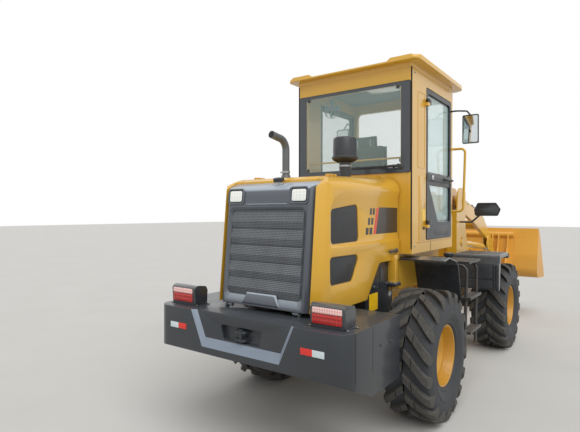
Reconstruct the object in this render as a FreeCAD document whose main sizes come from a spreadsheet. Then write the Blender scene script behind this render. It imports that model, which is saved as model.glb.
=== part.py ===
import FreeCAD, Part
import math
import os

import Sketcher
from FreeCAD import Rotation, Vector

# A compact articulated wheel loader. Millimetres, +X forward, +Y to its left, +Z up.
# The origin lies on the ground under the middle of the machine.

document = FreeCAD.newDocument("WheelLoader")
sheet = document.addObject("Spreadsheet::Sheet", "Sizes")

# Driving dimensions: alias, millimetres or degrees. Places along the machine ("_at") are measured
# forward from the rear axle, places across it from the middle plane, heights from the ground.
driving_sizes = [
    # running gear
    ("wheel_base", 2540),
    ("track_width", 1600),
    ("tyre_radius", 520),
    ("tyre_width", 405),
    ("rim_radius", 255),
    ("hub_radius", 150),
    ("axle_tube_radius", 78),
    ("axle_ball_radius", 180),
    ("hinge_at", 1270),
    ("hinge_pin_radius", 40),
    ("pin_gap", 0.3),
    ("seat_gap", 0.3),
    ("moving_gap", 6),
    ("steer_base_at", 760),
    ("steer_base_out", 450),
    ("steer_rod_at", 1700),
    ("steer_rod_out", 330),
    ("steer_up", 805),
    ("steer_pin_radius", 14),
    ("steer_lug_apart", 40),
    ("steer_lug_thick", 14),
    # rear frame and counterweight
    ("rear_overhang", 1420),
    ("rail_half", 310),
    ("rail_plate", 25),
    ("rail_low", 610),
    ("rail_high", 985),
    ("weight_half", 848),
    ("weight_top", 957),
    ("weight_low", 513),
    ("weight_rear_low", 653),
    ("weight_bevel", 325),
    ("weight_corner", 120),
    ("weight_front_at", -669),
    # hood and grille
    ("hood_rear_at", -1180),
    ("hood_half", 500),
    ("hood_low", 990),
    ("hood_shoulder", 1815),
    ("hood_top", 1990),
    ("hood_rear_top", 1862),
    ("hood_top_half", 385),
    ("hood_corner", 130),
    ("hood_sheet", 22),
    ("hood_cut_high", 1262),
    ("grille_half", 412),
    ("grille_depth", 62),
    ("grille_high", 1745),
    ("side_box_half", 465),
    ("side_box_top", 1250),
    ("panel_split", 6),
    ("spine_half", 330),
    # cab
    ("cab_rear_at", 177),
    ("cab_front_at", 1341),
    ("cab_half", 607),
    ("cab_low", 1306),
    ("cab_high", 2962),
    ("cab_wall", 45),
    ("roof_high", 3045),
    ("roof_overhang", 84),
    ("door_rear_at", 535),
    ("door_front_at", 1322),
    ("door_low", 1415),
    ("door_high", 2850),
    ("door_thick", 38),
    ("glass_thick", 6),
    # front frame and tower
    ("tower_inner", 340),
    ("tower_outer", 446),
    ("tower_plate", 16),
    ("tower_rear_at", 2010),
    ("tower_front_at", 2390),
    ("tower_top", 1985),
    # boom, tilt linkage and cylinders: pin places
    ("boom_pin_at", 2300),
    ("boom_pin_up", 1830),
    ("bucket_pin_at", 4220),
    ("bucket_pin_up", 790),
    ("rocker_pin_at", 3545),
    ("rocker_pin_up", 1493),
    ("link_rear_at", 3727),
    ("link_rear_up", 981),
    ("link_front_at", 4315),
    ("link_front_up", 1054),
    ("tilt_rod_at", 3593),
    ("tilt_rod_up", 1856),
    ("tilt_base_at", 2400),
    ("tilt_base_up", 1890),
    ("lift_base_at", 2225),
    ("lift_base_up", 1300),
    ("lift_rod_at", 3800),
    ("lift_rod_up", 1150),
    ("boom_side", 400),
    ("boom_plate", 50),
    ("boom_pin_radius", 35),
    ("cylinder_radius", 42),
    ("rod_radius", 24),
    # bucket
    ("bucket_half", 1010),
    ("bucket_reach", 900),
    ("bucket_top", 1426),
    ("bucket_floor", 645),
    ("bucket_sheet", 16),
]
for row, (alias, value) in enumerate(driving_sizes, 1):
    sheet.set(f"A{row}", alias)
    sheet.set(f"B{row}", str(value))
    sheet.setAlias(f"B{row}", alias)
document.recompute()


class Size:
    """A length: its value now, and the expression that ties it to the sheet."""

    def __init__(self, value, text):
        self.value = float(value)
        self.text = text

    def __add__(self, other):
        other = size(other)
        return Size(self.value + other.value, f"({self.text} + {other.text})")

    def __sub__(self, other):
        other = size(other)
        return Size(self.value - other.value, f"({self.text} - {other.text})")

    def __mul__(self, other):
        other = size(other)
        return Size(self.value * other.value, f"({self.text} * {other.text})")

    def __truediv__(self, other):
        other = size(other)
        return Size(self.value / other.value, f"({self.text} / {other.text})")

    def __neg__(self):
        return Size(-self.value, f"(0 - {self.text})")

    def __radd__(self, other):
        return size(other) + self

    def __rsub__(self, other):
        return size(other) - self

    def __rmul__(self, other):
        return size(other) * self


def size(value):
    if isinstance(value, Size):
        return value
    return Size(value, f"{float(value):.6g}")


named = {alias: Size(value, f"Sizes.{alias}") for alias, value in driving_sizes}


class Named:
    pass


n = Named()
for alias, length in named.items():
    setattr(n, alias, length)

planes = {"XY": "XY_Plane", "XZ": "XZ_Plane", "YZ": "YZ_Plane"}
counter = {"sketch": 0}


def bind(thing, path, length):
    thing.setExpression(path, size(length).text)


def origin_feature(body, role):
    return next(f for f in body.Origin.OriginFeatures if f.Role == role)


def new_sketch(body, plane, offset):
    counter["sketch"] += 1
    sketch = body.newObject("Sketcher::SketchObject", f"Sketch{counter['sketch']}")
    sketch.AttachmentSupport = [(origin_feature(body, planes[plane]), "")]
    sketch.MapMode = "FlatFace"
    offset = size(offset)
    sketch.AttachmentOffset = FreeCAD.Placement(Vector(0, 0, offset.value), Rotation())
    bind(sketch, "AttachmentOffset.Base.z", offset)
    return sketch


def tangent_points(before, corner, after, radius):
    """Where the round of a corner starts and ends, its middle, and whether it turns left."""
    into = (corner - before).normalize()
    out = (after - corner).normalize()
    turn = math.atan2(into.x * out.y - into.y * out.x, into.dot(out))
    cut = radius * math.tan(abs(turn) / 2)
    start = corner - into * cut
    end = corner + out * cut
    side = 1 if turn > 0 else -1
    middle = start + Vector(-into.y, into.x, 0) * (side * radius)
    return start, end, middle, turn > 0


def draw_outline(sketch, corners, closed=True):
    """Lines between corners (u, v) with a round at each corner (u, v, radius)."""
    count = len(corners)
    spots = [Vector(size(c[0]).value, size(c[1]).value, 0) for c in corners]
    rounds = [size(c[2]) if len(c) > 2 else None for c in corners]
    starts, ends, arcs = [], [], {}
    for i, spot in enumerate(spots):
        inner = closed or 0 < i < count - 1
        if rounds[i] is None or not inner:
            rounds[i] = None
            starts.append(spot)
            ends.append(spot)
            continue
        before, after = spots[i - 1], spots[(i + 1) % count]
        first, last, middle, left = tangent_points(before, spot, after, rounds[i].value)
        starts.append(first)
        ends.append(last)
        arcs[i] = (middle, left)
    line_count = count if closed else count - 1
    for i in range(line_count):
        sketch.addGeometry(Part.LineSegment(ends[i], starts[(i + 1) % count]))
    next_id = line_count
    constraints, driven = [], []
    for i in range(count):
        line_in = (i - 1) % count
        line_out = i
        has_in = closed or i > 0
        has_out = closed or i < count - 1
        if rounds[i] is None:
            if has_in and has_out:
                constraints.append(Sketcher.Constraint("Coincident", line_in, 2, line_out, 1))
            target = (line_out, 1) if has_out else (line_in, 2)
        else:
            middle, left = arcs[i]
            circle = Part.Circle(middle, Vector(0, 0, 1), rounds[i].value)
            first, last = (starts[i], ends[i]) if left else (ends[i], starts[i])
            low = math.atan2(first.y - middle.y, first.x - middle.x)
            high = math.atan2(last.y - middle.y, last.x - middle.x)
            if high < low:
                high += 2 * math.pi
            sketch.addGeometry(Part.ArcOfCircle(circle, low, high))
            arc = next_id
            sketch.addGeometry(Part.Point(spots[i]), True)
            point = next_id + 1
            next_id += 2
            enter, leave = (1, 2) if left else (2, 1)
            constraints.append(Sketcher.Constraint("Tangent", line_in, 2, arc, enter))
            constraints.append(Sketcher.Constraint("Tangent", arc, leave, line_out, 1))
            constraints.append(Sketcher.Constraint("PointOnObject", point, 1, line_in))
            constraints.append(Sketcher.Constraint("PointOnObject", point, 1, line_out))
            constraints.append(Sketcher.Constraint("Radius", arc, rounds[i].value))
            driven.append((len(constraints) - 1, rounds[i]))
            target = (point, 1)
        for kind, value in (("DistanceX", corners[i][0]), ("DistanceY", corners[i][1])):
            constraints.append(Sketcher.Constraint(kind, -1, 1, *target, size(value).value))
            driven.append((len(constraints) - 1, value))
    first = sketch.ConstraintCount
    sketch.addConstraint(constraints)
    for index, value in driven:
        bind(sketch, f"Constraints[{first + index}]", value)


def draw_circle(sketch, u, v, radius):
    u, v, radius = size(u), size(v), size(radius)
    index = sketch.GeometryCount
    sketch.addGeometry(Part.Circle(Vector(u.value, v.value, 0), Vector(0, 0, 1), radius.value))
    first = sketch.ConstraintCount
    sketch.addConstraint(
        [
            Sketcher.Constraint("DistanceX", -1, 1, index, 3, u.value),
            Sketcher.Constraint("DistanceY", -1, 1, index, 3, v.value),
            Sketcher.Constraint("Radius", index, radius.value),
        ]
    )
    for step, value in enumerate((u, v, radius)):
        bind(sketch, f"Constraints[{first + step}]", value)


def span_on(plane, low, high):
    """The sketch offset and length of a pad that runs from low to high across its plane."""
    low, high = size(low), size(high)
    if plane == "XZ":
        return -high, high - low
    return low, high - low


def new_body(label):
    body = document.addObject("PartDesign::Body", label)
    body.Label = label
    return body


def pad(body, plane, corners, low, high, holes=()):
    """Adds the outline, less its round holes (u, v, radius), from low to high across the plane."""
    offset, length = span_on(plane, low, high)
    sketch = new_sketch(body, plane, offset)
    draw_outline(sketch, corners)
    for hole in holes:
        draw_circle(sketch, *hole)
    feature = body.newObject("PartDesign::Pad", "Pad")
    feature.Profile = sketch
    feature.Length = length.value
    bind(feature, "Length", length)
    return feature


def pocket(body, plane, corners, low, high):
    """Cuts the outline from low to high across the plane."""
    offset, length = span_on(plane, low, high)
    sketch = new_sketch(body, plane, offset + length)
    draw_outline(sketch, corners)
    feature = body.newObject("PartDesign::Pocket", "Pocket")
    feature.Profile = sketch
    feature.Length = length.value
    bind(feature, "Length", length)
    return feature


def disc(body, plane, u, v, radius, low, high, cut=False):
    """Adds or cuts a round bar from low to high across the plane."""
    offset, length = span_on(plane, low, high)
    sketch = new_sketch(body, plane, offset + length if cut else offset)
    draw_circle(sketch, u, v, radius)
    feature = body.newObject("PartDesign::Pocket" if cut else "PartDesign::Pad", "Round")
    feature.Profile = sketch
    feature.Length = length.value
    bind(feature, "Length", length)
    return feature


def slab(label, plane, corners, low, high, holes=()):
    body = new_body(label)
    pad(body, plane, corners, low, high, holes)
    return body


def bar(label, plane, u, v, radius, low, high):
    body = new_body(label)
    disc(body, plane, u, v, radius, low, high)
    return body


def block(label, x_low, x_high, y_low, y_high, z_low, z_high):
    return slab(
        label,
        "XZ",
        [(x_low, z_low), (x_high, z_low), (x_high, z_high), (x_low, z_high)],
        y_low,
        y_high,
    )


def spin(label, corners, place=(0, 0, 0)):
    """A body turned about the Y axis: corners are (along Y, radius)."""
    body = new_body(label)
    sketch = new_sketch(body, "YZ", 0)
    draw_outline(sketch, corners)
    feature = body.newObject("PartDesign::Revolution", "Revolution")
    feature.Profile = sketch
    feature.ReferenceAxis = (origin_feature(body, "Y_Axis"), [""])
    feature.Angle = 360
    put(body, place)
    return body


def put(thing, place):
    """Places a sub-part, each coordinate tied to the sheet."""
    base = Vector(*(size(v).value for v in place))
    thing.Placement = FreeCAD.Placement(base, thing.Placement.Rotation)
    for axis, value in zip("xyz", place):
        bind(thing, f"Placement.Base.{axis}", value)


def soften(body, radius, wanted):
    """Rounds the edges of the body's last feature that the test picks."""
    document.recompute()
    base = body.Tip
    names = [f"Edge{i + 1}" for i, edge in enumerate(base.Shape.Edges) if wanted(edge)]
    feature = body.newObject("PartDesign::Fillet", "Fillet")
    feature.Base = (base, names)
    feature.Radius = size(radius).value
    bind(feature, "Radius", radius)
    return feature


def less(label, base, tools):
    """The base less every tool."""
    result = base
    for step, tool in enumerate(tools):
        cut = document.addObject("Part::Cut", f"{label}_cut")
        cut.Base = result
        cut.Tool = tool
        result = cut
    result.Label = label
    return result


def shared(label, first, second):
    common = document.addObject("Part::Common", label)
    common.Base = first
    common.Tool = second
    common.Label = label
    return common


def joined(label, things):
    fuse = document.addObject("Part::MultiFuse", label)
    fuse.Shapes = things
    fuse.Label = label
    return fuse


def together(label, things):
    compound = document.addObject("Part::Compound", label)
    compound.Links = things
    compound.Label = label
    return compound


def mirrored(thing):
    other = document.addObject("Part::Mirroring", f"{thing.Name}_mirror")
    other.Source = thing
    other.Base = Vector(0, 0, 0)
    other.Normal = Vector(0, 1, 0)
    return other


def both(label, thing):
    return together(label, [thing, mirrored(thing)])


def tube(label, points, bend, radius):
    """A bent round bar along straight runs joined by tangent arcs."""
    spots = [Vector(*(size(v).value for v in p)) for p in points]
    edges, last = [], spots[0]
    for before, corner, after in zip(spots, spots[1:], spots[2:]):
        into, out = (corner - before).normalize(), (after - corner).normalize()
        turn = into.getAngle(out)
        cut = bend * math.tan(turn / 2)
        start, end = corner - into * cut, corner + out * cut
        inward = (out - into).normalize()
        middle = corner + inward * (bend / math.cos(turn / 2))
        edges.append(Part.LineSegment(last, start).toShape())
        edges.append(Part.Arc(start, middle - inward * bend, end).toShape())
        last = end
    edges.append(Part.LineSegment(last, spots[-1]).toShape())
    path = Part.Wire(edges)
    direction = (spots[1] - spots[0]).normalize()
    ring = Part.Wire(Part.Circle(spots[0], direction, radius).toShape())
    feature = document.addObject("Part::Feature", label)
    feature.Shape = path.makePipeShell([ring], True, True)
    feature.Label = label
    return feature


parts = []


def keep(*things):
    parts.extend(things)


# Places worked out from the driving sizes
rear_axle = n.rear_overhang - (n.rear_overhang + n.bucket_pin_at + n.bucket_reach) / 2


def along(value):
    """A place given forward of the rear axle, in the machine's own frame."""
    return rear_axle + value


front_axle = along(n.wheel_base)
hinge = along(n.hinge_at)
boom_pin = (along(n.boom_pin_at), n.boom_pin_up)
bucket_pin = (along(n.bucket_pin_at), n.bucket_pin_up)
rocker_pin = (along(n.rocker_pin_at), n.rocker_pin_up)
link_rear = (along(n.link_rear_at), n.link_rear_up)
link_front = (along(n.link_front_at), n.link_front_up)
tilt_rod_pin = (along(n.tilt_rod_at), n.tilt_rod_up)
tilt_base = (along(n.tilt_base_at), n.tilt_base_up)
lift_base = (along(n.lift_base_at), n.lift_base_up)
lift_rod_pin = (along(n.lift_rod_at), n.lift_rod_up)
axle_up = n.tyre_radius


# Wheels: a lugged tyre and a dished rim on each hub
def tyre(label, place):
    half = n.tyre_width / 2
    r = n.tyre_radius
    bead = n.rim_radius - 8
    body = spin(
        label,
        [
            (-half + 45, bead),
            (half - 45, bead),
            (half - 22, bead + 40, 30),
            (half, r - 150, 90),
            (half - 12, r - 18, 20),
            (half - 60, r, 30),
            (-half + 60, r, 30),
            (-half + 12, r - 18, 20),
            (-half, r - 150, 90),
            (-half + 22, bead + 40, 30),
        ],
        place,
    )
    return body


def rim(label, place, outward):
    """The rim's cross-section from the outer flange to the inner one, with its dished disc."""
    s = 1 if outward > 0 else -1
    half = n.tyre_width / 2 - 45
    r = n.rim_radius - 8
    face = n.tyre_width / 2 - 60

    def at(y, radius):
        return (y * s, radius)

    outline = [
        at(-half, r),
        at(-half, r - 12),
        at(-half + 60, r - 26),
        at(face - 120, r - 30),
        at(face - 95, r - 60),
        at(face - 110, n.hub_radius + 8),
        at(face - 150, n.hub_radius - 10),
        at(face - 150, 40),
        at(face - 118, 40),
        at(face - 118, n.hub_radius - 24),
        at(face - 78, n.hub_radius + 14),
        at(face - 62, r - 66),
        at(face - 60, r - 34),
        at(half, r - 14),
        at(half, r),
    ]
    return spin(label, outline, place)


for axle_x, axle_name in ((rear_axle, "rear"), (front_axle, "front")):
    for side, side_name in ((-1, "right"), (1, "left")):
        place = (axle_x, side * n.track_width / 2, axle_up)
        keep(tyre(f"tyre_{axle_name}_{side_name}", place))
        keep(rim(f"rim_{axle_name}_{side_name}", place, side))


# Axles: a central casing, two tapered arms and a hub flange at each end
def axle(label, x):
    hub_face = n.track_width / 2 + n.tyre_width / 2 - 60 - 150 - n.seat_gap
    half = [
        (0, 0),
        (0, n.axle_ball_radius),
        (70, n.axle_ball_radius - 14),
        (150, n.axle_ball_radius - 85),
        (260, n.axle_tube_radius),
        (hub_face - 150, n.axle_tube_radius),
        (hub_face - 120, n.hub_radius - 20),
        (hub_face - 22, n.hub_radius - 16),
        (hub_face - 22, n.hub_radius - 34),
        (hub_face, n.hub_radius - 34),
        (hub_face, 0),
    ]
    arm = spin(f"{label}_arm", half, (x, 0, axle_up))
    return joined(label, [arm, mirrored(arm)])


rear_axle_arms = axle("rear_axle_arms", rear_axle)
rear_saddle = block(
    "rear_saddle", rear_axle - 130, rear_axle + 130, -n.rail_half, n.rail_half, axle_up + 60, n.rail_low
)
keep(joined("rear_axle", [rear_axle_arms, rear_saddle]))
front_axle_arms = axle("front_axle_arms", front_axle)
front_saddle = block(
    "front_saddle", front_axle - 110, front_axle + 110, -n.tower_inner - n.tower_plate,
    n.tower_inner + n.tower_plate, axle_up + 60, n.rail_low,
)
keep(joined("front_axle", [front_axle_arms, front_saddle]))

# Rear frame: two rails, cross members and the two hinge lugs on the centre line
rail_inner = n.rail_half - n.rail_plate
rail_outline = [
    (along(n.weight_front_at), n.rail_low),
    (hinge - 420, n.rail_low),
    (hinge - 300, n.rail_low - 90),
    (hinge - 300, n.rail_high),
    (along(n.weight_front_at), n.rail_high),
]
rear_rail = slab("rear_rail", "XZ", rail_outline, rail_inner, n.rail_half)
lug_outline = [
    (hinge - 330, -n.rail_half),
    (hinge - 200, -n.rail_half + 60, 60),
    (hinge + 95, -105, 90),
    (hinge + 95, 105, 90),
    (hinge - 200, n.rail_half - 60, 60),
    (hinge - 330, n.rail_half),
]
pin_hole = (hinge, 0, n.hinge_pin_radius + n.pin_gap)
rear_lug_low = slab("rear_lug_low", "XY", lug_outline, 575, 611)
rear_lug_high = slab("rear_lug_high", "XY", lug_outline, 880, 916)
hinge_pin_low = bar("hinge_pin_low", "XY", hinge, 0, n.hinge_pin_radius, 520, 660)
hinge_pin_high = bar("hinge_pin_high", "XY", hinge, 0, n.hinge_pin_radius, 835, 970)
rear_cross = block("rear_cross", hinge - 330, hinge - 300, -n.rail_half, n.rail_half, 520, n.rail_high)
rear_deck = block(
    "rear_deck", rear_axle - 200, hinge - 300, -n.rail_half, n.rail_half, n.rail_high - 20, n.rail_high
)
rear_belly = block("rear_belly", rear_axle + 190, rear_axle + 560, -rail_inner, rail_inner, 620, 640)
rear_end = block(
    "rear_end", along(n.weight_front_at), along(n.weight_front_at) + 25, -rail_inner, rail_inner,
    n.rail_low, n.rail_high,
)
steer_lug_outline = [
    (along(n.steer_base_at) - 100, n.rail_half - 5),
    (along(n.steer_base_at) + 90, n.rail_half - 5),
    (along(n.steer_base_at) + 40, n.steer_base_out + 38, 36),
    (along(n.steer_base_at) - 40, n.steer_base_out + 38, 36),
]
steer_fork = [
    slab(f"steer_lug_{name}", "XY", steer_lug_outline, n.steer_up + low, n.steer_up + low + n.steer_lug_thick)
    for name, low in (("low", -n.steer_lug_apart - n.steer_lug_thick), ("high", n.steer_lug_apart))
]
steer_base_pin = bar(
    "steer_base_pin", "XY", along(n.steer_base_at), n.steer_base_out, n.steer_pin_radius,
    n.steer_up - n.steer_lug_apart - 5, n.steer_up + n.steer_lug_apart + 5,
)
steer_base_mount = joined("steer_base_mount", steer_fork + [steer_base_pin])
keep(
    joined(
        "rear_frame",
        [
            rear_rail, mirrored(rear_rail), rear_lug_low, rear_lug_high, rear_cross, rear_deck,
            rear_belly, rear_end, steer_base_mount, mirrored(steer_base_mount), hinge_pin_low,
            hinge_pin_high,
        ],
    )
)

# Counterweight: one casting, its rear corners rounded, its underside cut up towards the rear
weight_rear = rear_axle - n.rear_overhang
weight_front = along(n.weight_front_at) - n.seat_gap
weight = new_body("weight_casting")
pad(
    weight,
    "XY",
    [
        (weight_front, -n.weight_half),
        (weight_front, n.weight_half),
        (weight_rear, n.weight_half, n.weight_corner),
        (weight_rear, -n.weight_half, n.weight_corner),
    ],
    n.weight_low,
    n.weight_top,
)
pocket(
    weight,
    "XZ",
    [
        (weight_rear - 10, n.weight_low - 10),
        (weight_rear + n.weight_bevel, n.weight_low - 10),
        (weight_rear + n.weight_bevel, n.weight_low),
        (weight_rear, n.weight_rear_low),
        (weight_rear - 10, n.weight_rear_low),
    ],
    -n.weight_half - 5,
    n.weight_half + 5,
)
groove_depth = 14
pocket(
    weight,
    "YZ",
    [(-600, 900), (-470, 720, 20), (470, 720, 20), (600, 900), (528, 900), (420, 762, 20), (-420, 762, 20), (-528, 900)],
    weight_rear - 10,
    weight_rear + groove_depth,
)
pocket(
    weight,
    "YZ",
    [(-160, 775, 15), (160, 775, 15), (190, 880, 15), (-190, 880, 15)],
    weight_rear - 10,
    weight_rear + 70,
)
inner_gap = rail_inner - 20
pocket(
    weight,
    "XY",
    [
        (weight_front + 5, -inner_gap),
        (weight_front - 330, -inner_gap, 40),
        (weight_front - 330, inner_gap, 40),
        (weight_front + 5, inner_gap),
    ],
    n.weight_low - 5,
    n.weight_top + 5,
)
grille_hinge = (along(n.hood_rear_at) + 14, n.hood_low - 17)
grille_bracket = slab(
    "grille_bracket",
    "XZ",
    [
        (grille_hinge[0] - 20, n.weight_top - 5),
        (grille_hinge[0] + 20, n.weight_top - 5),
        (grille_hinge[0] + 11, grille_hinge[1] + 11, 8),
        (grille_hinge[0] - 11, grille_hinge[1] + 11, 8),
    ],
    331,
    345,
)
grille_pin = bar("grille_pin", "XZ", grille_hinge[0], grille_hinge[1], 7, 275, 345)
bracket_pair = joined("bracket_left", [grille_bracket, grille_pin])
keep(joined("counterweight", [weight, bracket_pair, mirrored(bracket_pair)]))

# Tow hitch: a clevis in the counterweight's pocket and its drop pin
hitch_x = weight_rear + 70
clevis_outline = [
    (hitch_x, -60),
    (hitch_x - 62, -44, 30),
    (hitch_x - 62, 44, 30),
    (hitch_x, 60),
]
hitch_bore = (hitch_x - 36, 0, 14)
clevis_low = slab("clevis_low", "XY", clevis_outline, 790, 804, [hitch_bore])
clevis_high = slab("clevis_high", "XY", clevis_outline, 846, 860, [hitch_bore])
hitch_pin = bar("hitch_stem", "XY", hitch_x - 36, 0, 13.7, 782, 862)
hitch_head = bar("hitch_head", "XY", hitch_x - 36, 0, 20, 862, 870)
keep(together("tow_hitch", [clevis_low, clevis_high, joined("tow_pin", [hitch_pin, hitch_head])]))

# Tail lamps stand on the counterweight
lamp_body = slab(
    "tail_lamp",
    "XZ",
    [
        (along(-1300), n.weight_top + n.seat_gap),
        (along(-1095), n.weight_top + n.seat_gap),
        (along(-1105), n.weight_top + 140, 25),
        (along(-1290), n.weight_top + 140, 25),
    ],
    520,
    760,
)
keep(both("tail_lamps", lamp_body))

# Engine and gearbox: closed blocks at their real places
engine = block("engine", along(-950), along(-120), -270, 270, n.rail_high + n.seat_gap, 1640)
gearbox = block("gearbox", along(180), along(620), -230, 230, 640 + n.seat_gap, 950)
keep(together("power_unit", [engine, gearbox]))


# Hood: one hollow form, split into a middle strip, two gull-wing sides and a rear frame
def hood_form(label, inset):
    rear = along(n.hood_rear_at) + inset
    front = along(n.cab_rear_at) - 18
    half = n.hood_half - inset
    rear_half = n.grille_half - inset
    body = new_body(label)
    pad(
        body,
        "XY",
        [
            (front, -half),
            (front, half),
            (rear + 95, half, n.hood_corner),
            (rear, rear_half, 60),
            (rear, -rear_half, 60),
            (rear + 95, -half, n.hood_corner),
        ],
        n.hood_low - (5 if inset.value else 0),
        n.hood_top - inset,
    )
    for side in (1, -1):
        pocket(
            body,
            "YZ",
            [
                (side * (half + 20), n.hood_shoulder - inset),
                (side * half, n.hood_shoulder - inset),
                (side * (n.hood_top_half - inset / 2), n.hood_top - inset),
                (side * (n.hood_top_half - inset / 2), n.hood_top + 20),
                (side * (half + 20), n.hood_top + 20),
            ],
            rear - 20,
            front + 20,
        )
    pocket(
        body,
        "XZ",
        [
            (rear - 20, n.hood_low - 20),
            (rear, n.hood_low - 20),
            (rear + 80, n.hood_rear_top - inset),
            (rear + 240, n.hood_top - inset + 1),
            (rear + 240, n.hood_top + 20),
            (rear - 20, n.hood_top + 20),
        ],
        -half - 20,
        half + 20,
    )
    return body


hood_outer = hood_form("hood_outer", size(0))
hood_inner = hood_form("hood_inner", n.hood_sheet)
hood_cavity_front = block(
    "hood_cavity_front", along(n.cab_rear_at) - 60, along(n.cab_rear_at) + 20,
    -n.hood_half + n.hood_sheet, n.hood_half - n.hood_sheet, n.hood_low - 5, n.hood_shoulder - n.hood_sheet,
)
hood_shell = less("hood_shell", hood_outer, [hood_inner, hood_cavity_front])
hood_cutout = slab(
    "hood_cutout",
    "XZ",
    [
        (along(-480), n.hood_low - 30),
        (along(n.cab_rear_at) + 30, n.hood_low - 30),
        (along(n.cab_rear_at) + 30, n.hood_cut_high),
        (along(-255), n.hood_cut_high, 60),
        (along(-480), n.hood_low, 60),
    ],
    -n.hood_half - 30,
    n.hood_half + 30,
)
grille_front = along(n.hood_rear_at) + 110
side_rear = grille_front + n.panel_split
window_tools = []
for name, corners in (
    ("upper", [(-1008, 1696, 35), (-1006, 1445, 35), (-589, 1448, 35), (-613, 1742, 45)]),
    ("lower", [(-1034, 1365, 30), (-1034, 1164, 30), (-720, 1163, 40), (-598, 1361, 40)]),
):
    outline = [(along(x), z, r) for x, z, r in corners]
    window_tools.append(
        slab(f"window_{name}", "XZ", outline, n.hood_half - 14, n.hood_half + 20)
    )
side_zone = slab(
    "side_zone",
    "YZ",
    [
        (n.spine_half, n.hood_low - 40),
        (n.hood_half + 40, n.hood_low - 40),
        (n.hood_half + 40, n.hood_top + 40),
        (n.spine_half, n.hood_top + 40),
    ],
    side_rear,
    along(n.cab_rear_at) + 40,
)
side_sheet = less(
    "side_sheet", shared("side_left_form", hood_shell, side_zone), [hood_cutout] + window_tools
)
side_knuckles = []
for x, name in ((-880, "rear"), (-190, "front")):
    knuckle = new_body(f"knuckle_{name}")
    pad(
        knuckle,
        "YZ",
        [
            (n.spine_half, n.hood_top + 3),
            (n.spine_half + 45, n.hood_top - 2),
            (n.spine_half + 45, n.hood_top + 5),
            (n.spine_half, n.hood_top + 21),
        ],
        along(x - 20),
        along(x + 20),
    )
    disc(knuckle, "YZ", n.spine_half, n.hood_top + 12, 9, along(x - 20), along(x + 20))
    disc(knuckle, "YZ", n.spine_half, n.hood_top + 12, 5 + n.pin_gap, along(x - 21), along(x + 21), cut=True)
    side_knuckles.append(knuckle)
left_side = joined("hood_side_left", [side_sheet] + side_knuckles)
right_side = mirrored(left_side)
right_side.Label = "hood_side_right"
keep(left_side, right_side)
spine_zone = slab(
    "spine_zone",
    "YZ",
    [
        (-n.spine_half + n.panel_split, n.hood_shoulder),
        (n.spine_half - n.panel_split, n.hood_shoulder),
        (n.spine_half - n.panel_split, n.hood_top + 40),
        (-n.spine_half + n.panel_split, n.hood_top + 40),
    ],
    side_rear,
    along(n.cab_rear_at) + 40,
)
spine_sheet = shared("spine_sheet", hood_shell, spine_zone)
hoop_rear, hoop_front = along(-170), along(-110)
hoop_posts = [
    block(f"hoop_post_{side}", hoop_rear, hoop_front, low, high, n.side_box_top + n.seat_gap, 1720)
    for side, low, high in (("left", 390, 450), ("right", -450, -390))
]
hoop_beam = block("hoop_beam", hoop_rear, hoop_front, -450, 450, 1660, 1720)
hoop_stubs = [
    block(f"hoop_stub_{side}", hoop_rear, hoop_front, low, high, 1720, n.hood_top - n.hood_sheet)
    for side, low, high in (("left", 200, 250), ("right", -250, -200))
]
hood_hinge_y = n.spine_half
hood_hinge_z = n.hood_top + 12
hinge_places = ((-880, "rear"), (-190, "front"))
spine_hinges = []
for x, name in hinge_places:
    for end, low, high in (("a", x - 40, x - 20.3), ("b", x + 20.3, x + 40)):
        spine_hinges.append(
            slab(
                f"spine_hinge_{name}_{end}",
                "YZ",
                [
                    (hood_hinge_y - 40, n.hood_top - 1),
                    (hood_hinge_y - 12, n.hood_top - 1),
                    (hood_hinge_y - 12, n.hood_top + 3),
                    (hood_hinge_y + 6, n.hood_top + 3),
                    (hood_hinge_y + 6, n.hood_top + 18),
                    (hood_hinge_y - 40, n.hood_top + 18),
                ],
                along(low),
                along(high),
            )
        )
    spine_hinges.append(bar(f"spine_pin_{name}", "YZ", hood_hinge_y, hood_hinge_z, 5, along(x - 40), along(x + 40)))
left_hinges = joined("left_spine_hinges", spine_hinges)
keep(
    joined(
        "hood_spine",
        [spine_sheet, hoop_beam, left_hinges, mirrored(left_hinges)] + hoop_posts + hoop_stubs,
    )
)
rear_zone = block(
    "rear_zone", along(n.hood_rear_at) - 40, grille_front, -n.hood_half - 40, n.hood_half + 40,
    n.hood_low - 40, n.hood_top + 40,
)
grille_hole = slab(
    "grille_hole",
    "YZ",
    [(-350, 1110, 40), (350, 1110, 40), (362, n.grille_high, 40), (-362, n.grille_high, 40)],
    along(n.hood_rear_at) - 60,
    grille_front,
)
grille_sheet = less("grille_sheet", shared("grille_form", hood_shell, rear_zone), [grille_hole])
grille_knuckle = new_body("grille_knuckle")
disc(grille_knuckle, "XZ", grille_hinge[0], grille_hinge[1], 11, 280, 330)
pad(
    grille_knuckle,
    "XZ",
    [
        (grille_hinge[0] - 9, grille_hinge[1]),
        (grille_hinge[0] + 9, grille_hinge[1]),
        (grille_hinge[0] + 9, n.hood_low + 4),
        (grille_hinge[0] - 9, n.hood_low + 4),
    ],
    280,
    330,
)
disc(grille_knuckle, "XZ", grille_hinge[0], grille_hinge[1], 7 + n.pin_gap, 279, 331, cut=True)
keep(joined("grille_surround", [grille_sheet, grille_knuckle, mirrored(grille_knuckle)]))


def grille_face(height):
    """Where the back of the grille's sheet stands at a height: the surround leans forward going up."""
    lean = size(80) / (n.hood_rear_top - n.hood_sheet - n.hood_low + 20)
    return along(n.hood_rear_at) + n.hood_sheet + n.seat_gap + lean * (height - n.hood_low + 20)


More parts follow.
